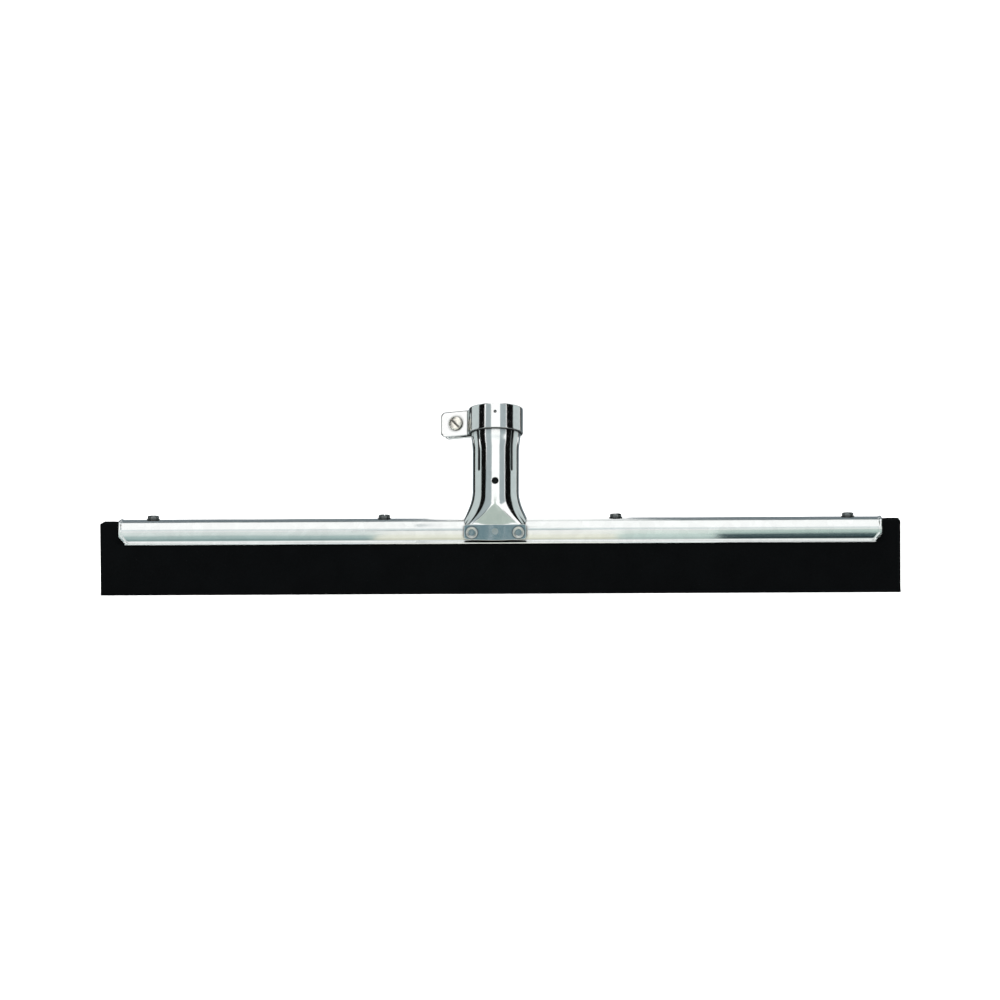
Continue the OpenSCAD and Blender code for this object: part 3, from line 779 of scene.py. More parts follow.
def slotted(obj, diameter, height, slot_ratio, turn):
    """Cuts a slot across a head that stands on 0."""
    wide, deep = slot_ratio * diameter / 2, 0.45 * height
    tool = solid("slot", box_shell((-diameter, -wide, height - deep), (diameter, wide, 2 * height)))
    cut(obj, tool, Matrix.Rotation(turn, 4, "Z"))
    soften(obj, 0.12 * MM, 40)


def washer_object(name, diameter, hole, thickness):
    """A washer that lies on 0."""
    e = 0.14 * MM
    r, inner = diameter / 2, hole / 2
    line = rounded([(inner + 1 * MM, 0), (r, 0), (r, thickness), (inner, thickness), (inner, 0),
                    (inner + 1 * MM, 0)], [0, e, 1.6 * e, e, e, 0], 4)
    return solid(name, lathe_shell(line[:-1], closed=True))


def channel_screw_object(settings, name, turn):
    """A screw along the channel, with the foot of its head at 0."""
    screws = settings.screws
    r = screws.shank / 2
    shank = np.array([(0, -screws.length), (r, r - screws.length), (r, 0)])
    line = np.vstack((shank, head_profile(screws.head, screws.head_height)))
    obj = solid(name, lathe_shell(line))
    slotted(obj, screws.head, screws.head_height, screws.slot_ratio, turn)
    return obj


def rivet_object(settings, name):
    """A rivet through both feet, with its middle at 0 and a dished head at each end."""
    rivets, shape = settings.rivets, socket_shape(settings)
    dish_r = bow_radius(rivets.dish, rivets.dish_depth)
    high = shape.foot_half + rivets.head_height
    edge = rivets.dish / 2
    sweep = math.asin(edge / dish_r)
    dish = arc((0, high - rivets.dish_depth + dish_r), dish_r, -math.pi / 2, -math.pi / 2 + sweep, 14)
    dish[0, 0] = 0
    r = rivets.head / 2
    rim = rounded([dish[-1], (edge + 0.25 * MM, high), (r - 0.15 * MM, high), (r, shape.foot_half),
                   (r - 0.6 * MM, shape.foot_half)], [0, 0.18 * MM, 0.25 * MM, 0.1 * MM, 0], 5)
    half = np.vstack((dish, rim[1:], [(rivets.shank / 2, shape.foot_half - 0.1 * MM)]))
    line = np.vstack((half, half[::-1] * [1, -1]))
    return solid(name, lathe_shell(line))


# Socket

def flare_points(settings, side, d, turns, rises):
    """The wall from a foot to the tube, inset by d, as [rise, turn, xyz] in the socket's own frame.
    turns are from the middle of the half, and rises from 0 at the foot to 1 at the tube."""
    socket, shape = settings.socket, socket_shape(settings)
    line = shape.line
    size, hand = np.abs(turns), np.sign(turns)
    corner = np.clip((size - socket.flat_turn) / (socket.side_turn - socket.flat_turn), 0, 1)
    along = np.clip((size - socket.side_turn) / (shape.seam_turn - socket.side_turn), 0, 1)
    flat = np.clip(size / socket.flat_turn, 0, 1)

    def plan(inset):
        """The foot's plan: the flat front, the round corner, and the side that closes in to the
        seam."""
        wide, deep = socket.foot_width / 2 - inset, shape.foot_half - inset
        r = socket.corner - inset
        seam = side * (line.top - shape.axis_z) * math.tan(socket.lean) + socket.seam / 2
        x = (wide - r) * flat + r * np.sin(corner * math.pi / 2)
        y = deep - r + r * np.cos(corner * math.pi / 2)
        return x, np.where(along > 0, (deep - r) * (1 - along) + seam * along, y)

    x, y = plan(d)
    past = np.maximum(np.abs(plan(socket.wall)[1]) - line.shoulder_at[0], 0)
    shoulder_z = line.shoulder_at[1] + np.sqrt(
        np.maximum(settings.channel.shoulder ** 2 - past ** 2, 0))
    # The fold bows over the channel's shoulder, and lies a little lower across the flat triangle
    z = np.maximum(shape.fold_z, shoulder_z + FIT) - 0.5 * MM * (1 - smooth(8 * corner))
    y = side * y
    z = z - shape.axis_z
    cos, sin = math.cos(socket.lean), math.sin(socket.lean)
    base = np.stack((hand * x, y * cos - z * sin, y * sin + z * cos), axis=-1)
    r = shape.radius - d
    end_s = socket.tip + (socket.tube_start - MM - socket.tip) * np.sin(turns) ** 2
    end = np.stack((r * np.sin(turns), side * r * np.cos(turns), end_s), axis=-1)

    # A curve that sets out straight towards the tube, and runs into it along its wall
    straight = end - base
    straight /= np.linalg.norm(straight, axis=-1, keepdims=True)
    pull_a, pull_b = base + 3 * MM * straight, end - np.array([0, 0, 8 * MM])
    t = rises[:, None, None]
    u = 1 - t
    return u ** 3 * base + 3 * u ** 2 * t * pull_a + 3 * u * t ** 2 * pull_b + t ** 3 * end


def wall_grid(settings, side, d, turns, rises, heights):
    """The whole wall of a half between two turns, from the foot to the top, inset by d.
    turns is [height, column], and its first row serves the flare too."""
    socket, shape = settings.socket, socket_shape(settings)
    low = flare_points(settings, side, d, turns[0], rises)
    bend = (heights - shape.splay_s) / socket.splay_length
    splay = socket.splay * (0.5 * smooth(bend) + 0.5 * np.clip(bend, 0, 1))
    r = (shape.radius + splay - d)[:, None]
    tube = np.stack((r * np.sin(turns), side * r * np.cos(turns),
                     heights[:, None] + 0 * turns), axis=-1)
    t = np.linspace(0, 1, 5)[1:-1, None, None]
    return np.concatenate((low, (1 - t) * low[-1] + t * tube[0], tube))


def slot_gap(socket, shape, heights):
    """Half the turn that a slot takes out of the wall at each height. Its foot is round."""
    half = socket.slot / 2
    low = np.clip(heights - shape.slot_round_s, -half, 0)
    gap = np.where(heights < shape.slot_s, 0, np.sqrt(np.maximum(half ** 2 - low ** 2, 0)))
    return gap / shape.radius


def wall_columns(shape, start, end, count):
    """Turns of the columns of points between two edges, closer together near both."""
    cluster = EDGE / shape.radius
    rows = []
    for a, b in zip(start, end):
        first, last = a + cluster, b - cluster[::-1]
        middle = np.linspace(first[-1], last[0], count + 1)[1:-1]
        rows.append(np.concatenate((first, middle, last)))
    return np.array(rows)


def edge_distance(socket, shape, turns, heights, outer):
    """Distance of the points of a wall to the nearest edge: of a slot, the seam, the top or the
    foot."""
    across = shape.radius * (np.abs(turns) - SLOT_TURN)
    to_slot = np.hypot(across, np.minimum(heights - shape.slot_round_s, 0)) - socket.slot / 2
    to_seam = shape.radius * (shape.seam_turn - np.abs(turns))
    to_top = socket.length - heights + 0 * turns
    step = np.linalg.norm(np.diff(outer, axis=0), axis=-1)
    to_foot = np.vstack((0 * turns[:1], np.cumsum(step, axis=0)))
    edge = np.minimum.reduce([to_slot, to_seam, to_top, to_foot])
    # What rounding errors leave of a distance is 0
    return np.where(edge < 0.1 * JOIN, 0, edge)


def fold_lift(socket, turns, rises):
    """How far the pressed folds beside the flat triangle stand out of a wall."""
    along = np.zeros((len(turns), 1))
    along[:len(rises), 0] = np.sin(math.pi * np.clip(1.15 * rises, 0, 1)) ** 0.6
    across = (np.abs(turns) - socket.flat_turn) / math.radians(3)
    return socket.fold * along * np.exp(-across ** 2)


def drill_handle_hole(wall, socket, shape):
    """Drills the hole for the handle's screw through the front of the wall."""
    r, through = socket.hole / 2, 2 * shape.radius
    tool = solid("hole", lathe_shell(np.array([(0, 0), (r, 0), (r, through), (0, through)]), 64))
    cut(wall, tool, Matrix.Translation((0, 0, shape.hole_s)) @ Matrix.Rotation(math.pi / 2, 4, "X"))
    soften(wall, 0.2 * MM, 60)


def socket_wall(settings, name, side):
    """Half of the pressed wall, in patches whose edges run along the folds, slots and seams."""
    socket, shape = settings.socket, socket_shape(settings)
    # Rows lie closer together round the feet of the slots, at the top and at the foot
    heights = np.unique(np.round(np.concatenate((
        np.arange(socket.tube_start, socket.length - 1.5 * MM, 1.5 * MM),
        shape.slot_s + MM * np.array([-1.2, -.7, -.4, -.2, -.08, 0, .06, .15, .28, .5, .75, 1, 1.3]),
        socket.length - EDGE)), 6))
    rises = np.array([0, .003, .008, .016, .028, .045, .07, *np.linspace(.1, 1, 19)])
    flat = np.full(len(heights), socket.flat_turn)
    seam = np.full(len(heights), shape.seam_turn)
    gap = slot_gap(socket, shape, heights)
    beside = [wall_columns(shape, flat, SLOT_TURN - gap, 14),
              wall_columns(shape, SLOT_TURN + gap, seam, 14)]
    patches = [wall_columns(shape, -flat, flat, 6), *beside, *(-turns[:, ::-1] for turns in beside)]

    shells = []
    for turns in patches:
        outer = wall_grid(settings, side, 0, turns, rises, heights)
        inner = wall_grid(settings, side, socket.wall, turns, rises, heights)
        below = len(outer) - len(heights)
        turns = np.vstack((np.repeat(turns[:1], below, axis=0), turns))
        s = np.concatenate((np.full(below, socket.tube_start), heights))[:, None]
        edge = edge_distance(socket, shape, turns, s, outer)
        out = outer - inner
        out /= np.linalg.norm(out, axis=-1, keepdims=True)
        lift = fold_lift(socket, turns, rises)[..., None] * out
        shells += sheet_shells(outer + lift, inner + lift, edge, 0.16 * socket.wall)
    wall = solid(name, *shells)
    if side == FRONT:
        drill_handle_hole(wall, socket, shape)
    return wall


def shade_inside(mesh, slot_s):
    """Gives the faces that look at the socket's axis, and the cut faces of the slots and seams,
    the second material, whose dark colour is painted shade for the shadow inside the tube."""
    for face in mesh.polygons:
        out = Vector((face.center.x, face.center.y, 0)).normalized()
        # 1 where a face looks straight out of the tube, and -1 where it looks at the axis
        look = face.normal.dot(out)
        cut_face = face.center.z > slot_s - 0.2 * MM and look < 0.45 and face.normal.z < 0.5
        face.material_index = int(look < -0.3 or cut_face)


def mark_ball(settings, side):
    """Radius and centre of the ball that presses the mark into a foot."""
    socket, shape = settings.socket, socket_shape(settings)
    radius = bow_radius(socket.mark, socket.mark_depth)
    return radius, Vector((0, side * (shape.foot_half - socket.mark_depth + radius),
                           shape.line.top - settings.rivets.drop + socket.mark_up))


def dull_mark(mesh, centre, radius):
    """Gives the faces of the pressed mark, which lie on its ball, the third material."""
    for face in mesh.polygons:
        if abs((face.center - centre).length - radius) < 0.01 * MM:
            face.material_index = 2


def press_mark(foot, settings, side):
    """Presses the mark into the outer face of a foot."""
    radius, centre = mark_ball(settings, side)
    sweep = math.asin((settings.socket.mark / 2 + 1 * MM) / radius)
    cap = arc((0, 0), radius, -math.pi / 2, sweep - math.pi / 2, 12)
    cap[0, 0] = 0
    tool = solid("mark", lathe_shell(np.vstack((cap, [(0, cap[-1, 1])]))))
    cut(foot, tool, Matrix.Translation(centre) @ Matrix.Rotation(-side * math.pi / 2, 4, "X"))


def foot_object(settings, side):
    """A foot with its pressed mark, in the socket's own frame."""
    socket, shape = settings.socket, socket_shape(settings)
    line = shape.line
    edge = socket.foot_edge
    corner_x = socket.foot_width / 2 - edge
    bow_r = bow_radius(socket.foot_width, socket.foot_bow)
    bow_turn = math.asin(corner_x / bow_r)
    bow_z = line.top - socket.foot_drop + bow_r
    corner_z = bow_z - bow_r * math.cos(bow_turn) + edge
    right = np.vstack((arc((corner_x, corner_z), edge, -math.pi / 2, 0, 10),
                       arc((corner_x, shape.fold_z - edge), edge, 0, math.pi / 2, 10)))
    down = -math.pi / 2
    outline = np.vstack((arc((0, bow_z), bow_r, down - bow_turn, down + bow_turn, 40)[1:-1], right,
                         right[::-1] * [-1, 1]))
    inner_y = side * (shape.foot_half - socket.wall)
    outer_y = side * shape.foot_half
    rings = np.array([[(x, y, z) for x, z in outline] for y in (inner_y, outer_y)])
    foot = solid("foot", loft_shell(rings))
    press_mark(foot, settings, side)
    soften(foot, 0.3 * MM, 28)
    bake(foot)
    foot.data.transform(shape.foot)
    return foot


# Clamp

def band_radius(settings):
    """Outside radius of the clamp band's ring."""
    return socket_shape(settings).finger + FIT + settings.clamp.thickness


def band_line(settings, d):
    """The band's line, d inside its outer face, from one ear's end round to the other's. Also the
    distance of every point to the end of its ear, where the ring counts as far."""
    clamp, outer = settings.clamp, band_radius(settings)
    ear_out = clamp.gap / 2 + clamp.thickness
    bend_v = ear_out + clamp.bend
    bend_u = math.sqrt((outer + clamp.bend) ** 2 - bend_v ** 2)
    turn = math.atan2(bend_v, bend_u)
    to_end = spaced(0, clamp.reach - bend_u, 1.2 * MM, at_end=False)
    ear = np.column_stack((clamp.reach - to_end, np.full(len(to_end), ear_out - d)))
    bend = arc((bend_u, bend_v), clamp.bend + d, -math.pi / 2, -math.pi + turn, 10)[1:]
    ring = arc((0, 0), outer - d, turn, 2 * math.pi - turn, 160)[1:-1]
    side = np.vstack((ear, bend))
    far = np.full(2 * len(bend) + len(ring), 1.0)
    return (np.vstack((side, ring, side[::-1] * [1, -1])),
            np.concatenate((to_end, far, to_end[::-1])))


def band_object(settings):
    """The band with its ears, their round corners and their holes, and the punch mark."""
    clamp, shape = settings.clamp, socket_shape(settings)
    face, to_end = band_line(settings, 0)
    inside = band_line(settings, clamp.thickness)[0]
    rows = spaced(0, clamp.height, 1.2 * MM) - clamp.height / 2
    corner, half = clamp.corner, clamp.height / 2
    past = np.clip(corner - to_end, 0, corner)
    tall = half - corner + np.sqrt(corner ** 2 - past ** 2)
    z = rows[None, :] * (tall / half)[:, None]
    over = np.abs(z) - (half - corner)
    in_corner = (past[:, None] > 0) & (over > 0)
    edge = np.where(in_corner, corner - np.hypot(past[:, None], over),
                    np.minimum(half - np.abs(z), to_end[:, None]))
    edge = np.where(edge < JOIN, 0, edge)

    def grid(line):
        return np.stack((np.repeat(line[:, :1], len(rows), axis=1),
                         np.repeat(line[:, 1:], len(rows), axis=1), z), axis=-1)

    band = solid("band", *sheet_shells(grid(face), grid(inside), edge, 0.45 * clamp.thickness))
    hole_r, through = clamp.screw / 2 + 0.2 * MM, 50 * MM
    tool = solid("hole", lathe_shell(np.array([(0, -through), (hole_r, -through),
                                               (hole_r, through), (0, through)]), 64))
    cut(band, tool, shape.band.inverted() @ shape.screw)
    mark_r = bow_radius(clamp.mark, clamp.mark_depth)
    mark_y = clamp.mark_depth - mark_r - band_radius(settings)
    cut(band, solid("mark", ball_shell(mark_r)), Matrix.Rotation(clamp.turn - math.pi, 4, "Z")
        @ Matrix.Translation((0, mark_y, clamp.mark_up)))
    soften(band, 0.12 * MM, 55)
    return band


def shade_underside(mesh, reach):
    """Gives the faces of the ring that look down the second material, whose dark colour is painted
    shadow under the ring.
    """
    for face in mesh.polygons:
        in_ring = math.hypot(face.center.x, face.center.y) < reach
        face.material_index = int(in_ring and face.normal.z < -0.2)


def thread_shell(radius, pitch, low, high):
    """A threaded rod along Z, chamfered at its lower end."""
    depth, chamfer = 0.6 * pitch, 0.6 * MM
    turns = np.linspace(0, 2 * math.pi, 40, endpoint=False)
    heights = np.linspace(low, high, int((high - low) / (pitch / 10)) + 1)
    phase = (heights[:, None] / pitch - turns / (2 * math.pi)) % 1
    # Flat crests and roots of about a tenth of the pitch, with straight flanks between them
    cut_in = depth * np.clip(1.25 * np.abs(2 * phase - 1) - 0.12, 0, 1)
    r = np.minimum(radius - cut_in, radius - np.clip(low + chamfer - heights, 0, None)[:, None])
    points = np.stack((r * np.cos(turns), r * np.sin(turns), heights[:, None] + 0 * turns), axis=-1)
    first, last = points[:1] * [0, 0, 1], points[-1:] * [0, 0, 1]
    return grid_shell(np.concatenate((first, points, last)), wrap_columns=True)


def clamp_screw_object(settings):
    """The screw, with 0 in the middle of the ear gap and +Z out of the head."""
    clamp = settings.clamp
    seat, slot_turn = clamp.gap / 2 + clamp.thickness, math.radians(-45)
    line = np.vstack(([(0, 0)], head_profile(clamp.head, clamp.head_height)))
    head = solid("head", lathe_shell(line, 96))
    slotted(head, clamp.head, clamp.head_height, settings.screws.slot_ratio, slot_turn)
    bake(head)
    head.data.transform(Matrix.Translation((0, 0, seat)))
    shank = solid("shank", thread_shell(clamp.screw / 2, clamp.pitch, seat - clamp.screw_length,
                                        seat + 0.5 * MM))
    return join("clamping_screw", head, shank)


def clamp_nut_object(settings):
    """The square nut, with 0 in its middle and its chamfered face at -Z."""
    clamp = settings.clamp
    half, high = clamp.nut / 2, clamp.nut_height / 2
    nut = solid("clamping_nut", box_shell((-half, -half, -high), (half, half, high)))
    round_line = np.array([(0, -high), (1.02 * half, -high), (1.45 * half, -0.55 * high),
                           (1.45 * half, high), (0, high)])
    cut(nut, solid("chamfer", lathe_shell(round_line, 96)), operation="INTERSECT")
    r, chamfer, past = clamp.screw / 2 + FIT, 0.5 * MM, 1.2 * high
    bore = np.array([(0, -past), (r + chamfer, -past), (r + chamfer, -high), (r, chamfer - high),
                     (r, high - chamfer), (r + chamfer, high), (r + chamfer, past), (0, past)])
    cut(nut, solid("bore", lathe_shell(bore, 64)))
    soften(nut, 0.18 * MM, 25)
    return nut


# Operators

class SQUEEGEE_OT_channel(bpy.types.Operator):
    """Build the folded steel channel"""
    bl_idname = "squeegee.channel"
    bl_label = "Channel"
    bl_options = {"REGISTER", "UNDO"}

    def execute(self, context):
        settings = context.scene.squeegee
        material = steel("galvanised", settings.channel.colour, settings.channel.roughness)
        place(channel_object(settings), "frame_channel", "channel_steel", material)
        return {"FINISHED"}


class SQUEEGEE_OT_strip(bpy.types.Operator):
    """Build the plastic strip that spaces the blades"""
    bl_idname = "squeegee.strip"
    bl_label = "Core strip"
    bl_options = {"REGISTER", "UNDO"}

    def execute(self, context):
        material = plastic("strip_plastic", context.scene.squeegee.blades.strip_colour)
        place(strip_object(), "core_strip", "core_plastic", material)
        return {"FINISHED"}


class SQUEEGEE_OT_blades(bpy.types.Operator):
    """Build the two foam blades"""
    bl_idname = "squeegee.blades"
    bl_label = "Blades"
    bl_options = {"REGISTER", "UNDO"}

    def execute(self, context):
        settings = context.scene.squeegee
        material = foam("foam_rubber", settings.blades.colour, settings.blades.pore)
        for name, node, side in (("foam_front", "front_blade", FRONT),
                                 ("foam_rear", "rear_blade", REAR)):
            blade = place(blade_object(settings, name, side), node, "blade_foam", material)
        return {"FINISHED"}


class SQUEEGEE_OT_screws(bpy.types.Operator):
    """Build the screws and washers along the channel"""
    bl_idname = "squeegee.screws"
    bl_label = "Channel screws"
    bl_options = {"REGISTER", "UNDO"}

    def execute(self, context):
        settings = context.scene.squeegee
        screws, line = settings.screws, section(settings)
        material = steel("screw_steel", screws.colour, screws.roughness, streaks=(300, 300, 300),
                         crystal=2 * MM)
        spread = settings.channel.length - 2 * screws.end
        for i in range(screws.count):
            x = spread * (i / (screws.count - 1) - 0.5)
            at = Matrix.Translation((x, line.mid_y, line.top))
            washer = washer_object(f"washer_{i + 1}", screws.washer, screws.shank + 0.2 * MM,
                                   screws.washer_height)
            place(washer, f"screw_washer_{i + 1}", "fastener_steel", material, at=at)
            # Each slot stopped at its own turn
            screw = channel_screw_object(settings, f"screw_{i + 1}", math.radians(35 + 50 * i))
            place(screw, f"channel_screw_{i + 1}", "fastener_steel", material,
                  at=at @ Matrix.Translation((0, 0, screws.washer_height)))
        return {"FINISHED"}


class SQUEEGEE_OT_socket(bpy.types.Operator):
    """Build the two halves of the handle socket"""
    bl_idname = "squeegee.socket"
    bl_label = "Handle socket"
    bl_options = {"REGISTER", "UNDO"}

    def execute(self, context):
        settings = context.scene.squeegee
        socket, shape = settings.socket, socket_shape(settings)
        # The outside steel has stronger painted shade in its corners, which paints the dark shadow
        # line on the tube under the clamp band
        outside = steel("socket_zinc", socket.colour, socket.roughness, streaks=(240, 240, 20),
                        crystal=3 * MM, depth=0.002 * MM, reach=4 * MM, shade=(0.62, 0.98))
        # The inside material is painted shade: its dark colour stands in for the shadow inside the
        # tube, in its slots and in the handle's hole
        inside = steel("socket_inside_painted_shade", socket.inside, 0.55, streaks=(240, 240, 20),
                       crystal=3 * MM, depth=0.01 * MM)
        mark = steel("foot_mark", socket.mark_colour, 0.5, streaks=(300, 300, 300),
                     crystal=3 * MM)
        for name, node, side in (("socket_front_half", "socket_front", FRONT),
                                 ("socket_rear_half", "socket_rear", REAR)):
            wall = socket_wall(settings, name + "_wall", side)
            half = join(name, wall, foot_object(settings, side))
            shade_inside(half.data, shape.slot_s)
            radius, centre = mark_ball(settings, side)
            dull_mark(half.data, shape.foot @ centre, radius)
            half.data.set_sharp_from_angle(angle=math.radians(50))
            place(half, node, "socket_steel", outside, inside, mark, at=shape.axis)
        return {"FINISHED"}


class SQUEEGEE_OT_rivets(bpy.types.Operator):
    """Build the two rivets through the feet"""
    bl_idname = "squeegee.rivets"
    bl_label = "Rivets"
    bl_options = {"REGISTER", "UNDO"}

    def execute(self, context):
        settings = context.scene.squeegee
        rivets, line = settings.rivets, section(settings)
        material = steel("rivet_zinc", rivets.colour, rivets.roughness, streaks=(300, 300, 300),
                         crystal=2 * MM)
        for name, node, side in (("rivet_left", "foot_rivet_left", -1),
                                 ("rivet_right", "foot_rivet_right", 1)):
            at = (Matrix.Translation((settings.socket.shift + side * rivets.spread, line.mid_y,
                                      line.top - rivets.drop))
                  @ Matrix.Rotation(math.pi / 2, 4, "X"))
            place(rivet_object(settings, name), node, "rivet_steel", material, at=at)
        return {"FINISHED"}


class SQUEEGEE_OT_clamp_band(bpy.types.Operator):
    """Build the clamp band with its two ears"""
    bl_idname = "squeegee.clamp_band"
    bl_label = "Clamp band"
    bl_options = {"REGISTER", "UNDO"}

    def execute(self, context):
        settings = context.scene.squeegee
        clamp, socket = settings.clamp, settings.socket
        outside = steel("band_zinc", clamp.colour, clamp.roughness, streaks=(40, 40, 500),
                        crystal=3 * MM, depth=0.002 * MM)
        # The underside material is painted shadow: the ring's faces that look down are dark for the
        # shadow under the band
        under = steel("band_underside_painted_shade", socket.inside, 0.5, streaks=(40, 40, 500), crystal=3 * MM)
        band = band_object(settings)
        shade_underside(band.data, socket.bore / 2 + 6 * MM)
        place(band, "clamp_band", "band_steel", outside, under, at=socket_shape(settings).band)
        return {"FINISHED"}


class SQUEEGEE_OT_clamp_screw(bpy.types.Operator):
    """Build the clamp screw, its nut and its washer"""
    bl_idname = "squeegee.clamp_screw"
    bl_label = "Clamp screw"
    bl_options = {"REGISTER", "UNDO"}

    def execute(self, context):
        settings = context.scene.squeegee
        clamp, at = settings.clamp, socket_shape(settings).screw
        material = steel("clamp_screw_zinc", clamp.screw_colour, clamp.screw_roughness,
                         streaks=(200, 200, 200), crystal=2 * MM, depth=0.001 * MM)
        place(clamp_screw_object(settings), "clamp_screw", "fastener_steel", material, at=at)
        under = -clamp.gap / 2 - clamp.thickness - clamp.washer_height
        washer = washer_object("clamping_washer", clamp.washer, clamp.screw + 0.2 * MM,
                               clamp.washer_height)
        place(washer, "clamp_washer", "fastener_steel", material,
              at=at @ Matrix.Translation((0, 0, under)))
        place(clamp_nut_object(settings), "clamp_nut", "fastener_steel", material,
              at=at @ Matrix.Translation((0, 0, under - clamp.nut_height / 2)))
        return {"FINISHED"}


# Stage

# What the steel reflects of the floor, found by trial: darker near the squeegee, and lighter in
# the middle. Each stretch of the floor's width has a tint for each stretch of its depth, in metres.
FLOOR_DEPTHS = (("near", 0.02, 0.07), ("next", 0.07, 0.11), ("mid", 0.11, 0.18), ("far", 0.18, 2.6))
FLOOR_TINTS = (
    ("left", -0.9, -0.09, ((0.25, 0.37, 0.37), (0.45, 0.58, 0.57), (0.8, 0.88, 0.86), (1, 1, 1))),
    ("middle", -0.09, 0.08, ((0.8, 0.8, 0.65), (1, 1, 0.88), (1.1, 1.1, 1.05), (1.1, 1.1, 1.1))),
    ("half_right", 0.08, 0.15, ((0.55, 0.66, 0.64), (0.66, 0.8, 0.76), (0.85, 0.95, 0.9),
                                (1, 1, 1))),
    ("right", 0.15, 0.9, ((0.015, 0.03, 0.035), (0.06, 0.1, 0.11), (0.5, 0.65, 0.6),
                          (0.95, 1, 0.97))),
)

# Upright boards: name, turn in degrees from the camera's side, width, distance, bottom, top, tint
UPRIGHT_BOARDS = (
    ("board_left", -66, 0.75, 1.5, 0, 4, (0.004, 0.004, 0.004)),
    ("board_right", 69, 0.86, 1.5, 0, 4, (0.004, 0.004, 0.004)),
    ("board_grey_right", 36, 0.76, 1.5, 0.4, 1.3, (0.42, 0.48, 0.50)),
    ("board_side_left", -102, 1.2, 1.5, 0, 4, (0.6, 0.67, 0.67)),
    ("board_side_right", 105, 1.2, 1.5, 0, 4, (0.6, 0.67, 0.67)),
    ("board_back_left", -145, 1.2, 1.6, 0, 1.6, (0.02, 0.02, 0.02)),
    ("board_back_right", 145, 0.9, 1.6, 0, 1.6, (0.03, 0.03, 0.03)),
)

# Boards square to the camera's side: name, left, right, depth, bottom, top, tint
SQUARE_BOARDS = (
    ("board_ahead", -1.6, 1.6, -2.6, 0, 0.75, (0.85, 0.92, 0.93)),
    ("board_triangle", -0.022, 0.016, -0.12, 0.09, 0.13, (0.50, 0.58, 0.53)),
    ("board_back_left_tall", -1.6, -0.1, 1.3, 0, 5, (0.2, 0.24, 0.26)),
    ("board_back_right_tall", 0.08, 1.6, 1.3, 0, 5, (0.2, 0.24, 0.26)),
)


def board(name, corners, tint):
    """A board of light between four corners that only reflections show."""
    made = solid(name, (np.array(corners, float), [[0, 1, 2, 3]]))
    material = bpy.data.materials.new(name)
    material.use_nodes = True
    tree = material.node_tree
    tree.nodes.clear()
    light = tree.nodes.new("ShaderNodeEmission")
    light.inputs["Color"].default_value = (*tint, 1)
    out = tree.nodes.new("ShaderNodeOutputMaterial")
    tree.links.new(light.outputs["Emission"], out.inputs["Surface"])
    made.data.materials.append(material)
    made.visible_camera = False
    made.visible_diffuse = False
    made.visible_transmission = False
    made.visible_volume_scatter = False
    made.visible_shadow = False


def lying(name, left, right, front, back, height, tint):
    """A board that lies flat, between two depths."""
    board(name, [(left, front, height), (right, front, height), (right, back, height),
                 (left, back, height)], tint)


def square(name, left, right, depth, low, high, tint):
    """An upright board square to the camera's side."""
    board(name, [(left, depth, low), (right, depth, low), (right, depth, high),
                 (left, depth, high)], tint)


def upright(name, degrees, width, reach, low, high, tint):
    """An upright board that faces the squeegee."""
    turn = math.radians(degrees)
    out = np.array([math.sin(turn), -math.cos(turn)]) * reach
    side = np.array([math.cos(turn), math.sin(turn)]) * width / 2
    a, b = out - side, out + side
    board(name, [(*a, low), (*b, low), (*b, high), (*a, high)], tint)


def put_up_boards():
    """Everything around the stage that the steel reflects."""
    for part, left, right, tints in FLOOR_TINTS:
        for (depth, near, far), tint in zip(FLOOR_DEPTHS, tints):
            lying(f"board_{depth}_{part}", left, right, -far, -near, 0.002, tint)
    lying("board_foot", -0.12, 0.05, -2.4, -0.35, 0.003, (0.16, 0.255, 0.29))
    lying("board_behind", -0.9, 0.9, 0.06, 1.3, 0.002, (0.25, 0.3, 0.32))
    for each in SQUARE_BOARDS:
        square(*each)
    # Beside the tube, with a slanting top
    board("board_tube", [(-0.06, -0.135, 0.09), (-0.06, -0.036, 0.09), (-0.06, -0.036, 0.192),
                         (-0.06, -0.135, 0.215)], (0.42, 0.48, 0.50))
    for each in UPRIGHT_BOARDS:
        upright(*each)


def lay_floor(tint):
    """A pale floor, which reaches far behind the squeegee."""
    far = 20
    floor = solid("floor", (np.array([(-far, -far, 0), (far, -far, 0), (far, far, 0),
                                      (-far, far, 0)], float), [[0, 1, 2, 3]]))
    paint = Nodes("floor_paint")
    paint.shader.inputs["Base Color"].default_value = (*tint, 1)
    paint.shader.inputs["Roughness"].default_value = 0.9
    paint.shader.inputs["Specular IOR Level"].default_value = 0.1
    floor.data.materials.append(paint.material)


def light_studio(strength):
    """White light from all round, and a softbox overhead that steel doesn't reflect."""
    scene = bpy.context.scene
    scene.view_settings.view_transform = "Standard"
    world = bpy.data.worlds.new("studio")
    world.use_nodes = True
    background = world.node_tree.nodes["Background"]
    background.inputs["Color"].default_value = (1, 1, 1, 1)
    background.inputs["Strength"].default_value = strength
    scene.world = world
    lamp = bpy.data.lights.new("softbox", "AREA")
    lamp.shape = "RECTANGLE"
    lamp.size, lamp.size_y = 2.4, 1.6
    lamp.energy = 45 * strength
    softbox = bpy.data.objects.new("softbox", lamp)
    softbox.location = (-0.3, -0.6, 2.2)
    softbox.rotation_euler = (math.radians(15), 0, 0)
    scene.collection.objects.link(softbox)
    softbox.visible_glossy = False


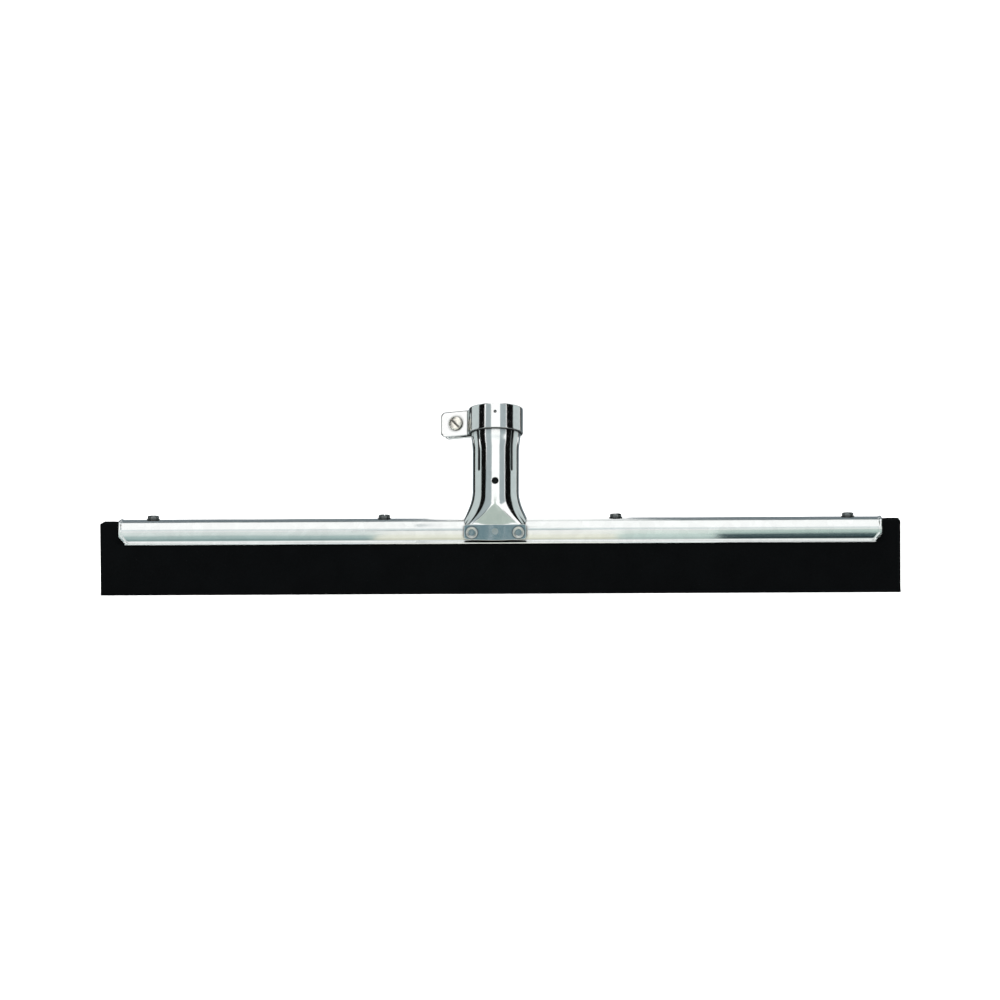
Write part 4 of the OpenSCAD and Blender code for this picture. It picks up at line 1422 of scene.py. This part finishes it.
def aim_camera(stage):
    """The camera, at its distance from the point that it looks at."""
    scene = bpy.context.scene
    lens = bpy.data.cameras.new("camera")
    lens.lens = stage.lens
    camera = bpy.data.objects.new("camera", lens)
    out = Vector((math.sin(stage.azimuth) * math.cos(stage.elevation),
                  -math.cos(stage.azimuth) * math.cos(stage.elevation),
                  math.sin(stage.elevation)))
    camera.location = Vector(stage.target) + stage.distance * out
    turn = out.to_track_quat("Z", "Y") @ Quaternion((0, 0, 1), stage.roll)
    camera.rotation_euler = turn.to_euler()
    scene.collection.objects.link(camera)
    scene.camera = camera


class SQUEEGEE_OT_stage(bpy.types.Operator):
    """Set up the floor, the light, the boards that the steel reflects, and the camera"""
    bl_idname = "squeegee.stage"
    bl_label = "Stage"
    bl_options = {"REGISTER", "UNDO"}

    def execute(self, context):
        stage = context.scene.squeegee.stage
        lay_floor(stage.floor)
        light_studio(stage.light)
        put_up_boards()
        aim_camera(stage)
        return {"FINISHED"}


OPERATORS = (SQUEEGEE_OT_channel, SQUEEGEE_OT_strip, SQUEEGEE_OT_blades, SQUEEGEE_OT_screws,
             SQUEEGEE_OT_socket, SQUEEGEE_OT_rivets, SQUEEGEE_OT_clamp_band,
             SQUEEGEE_OT_clamp_screw, SQUEEGEE_OT_stage)


class VIEW3D_PT_squeegee(bpy.types.Panel):
    """Sizes and colours, and a button for each piece"""
    bl_label = "Floor squeegee"
    bl_space_type = "VIEW_3D"
    bl_region_type = "UI"
    bl_category = "Squeegee"

    def draw(self, context):
        settings = context.scene.squeegee
        for operator in OPERATORS:
            self.layout.operator(operator.bl_idname)
        for name in settings.bl_rna.properties.keys():
            group = getattr(settings, name)
            if isinstance(group, bpy.types.PropertyGroup):
                column = self.layout.box().column(align=True)
                column.label(text=name.capitalize())
                for key in group.__annotations__:
                    column.prop(group, key)


CLASSES = (SqueegeeBlades, SqueegeeChannel, SqueegeeScrews, SqueegeeSocket, SqueegeeRivets,
           SqueegeeClamp, SqueegeeStage, SqueegeeSettings, *OPERATORS, VIEW3D_PT_squeegee)


def register():
    for cls in CLASSES:
        bpy.utils.register_class(cls)
    bpy.types.Scene.squeegee = PointerProperty(type=SqueegeeSettings)


def unregister():
    del bpy.types.Scene.squeegee
    for cls in reversed(CLASSES):
        bpy.utils.unregister_class(cls)


def main():
    register()
    build = bpy.ops.squeegee
    build.channel()
    build.strip()
    build.blades()
    build.screws()
    build.socket()
    build.rivets()
    build.clamp_band()
    build.clamp_screw()
    build.stage()


if __name__ == "__main__":
    main()
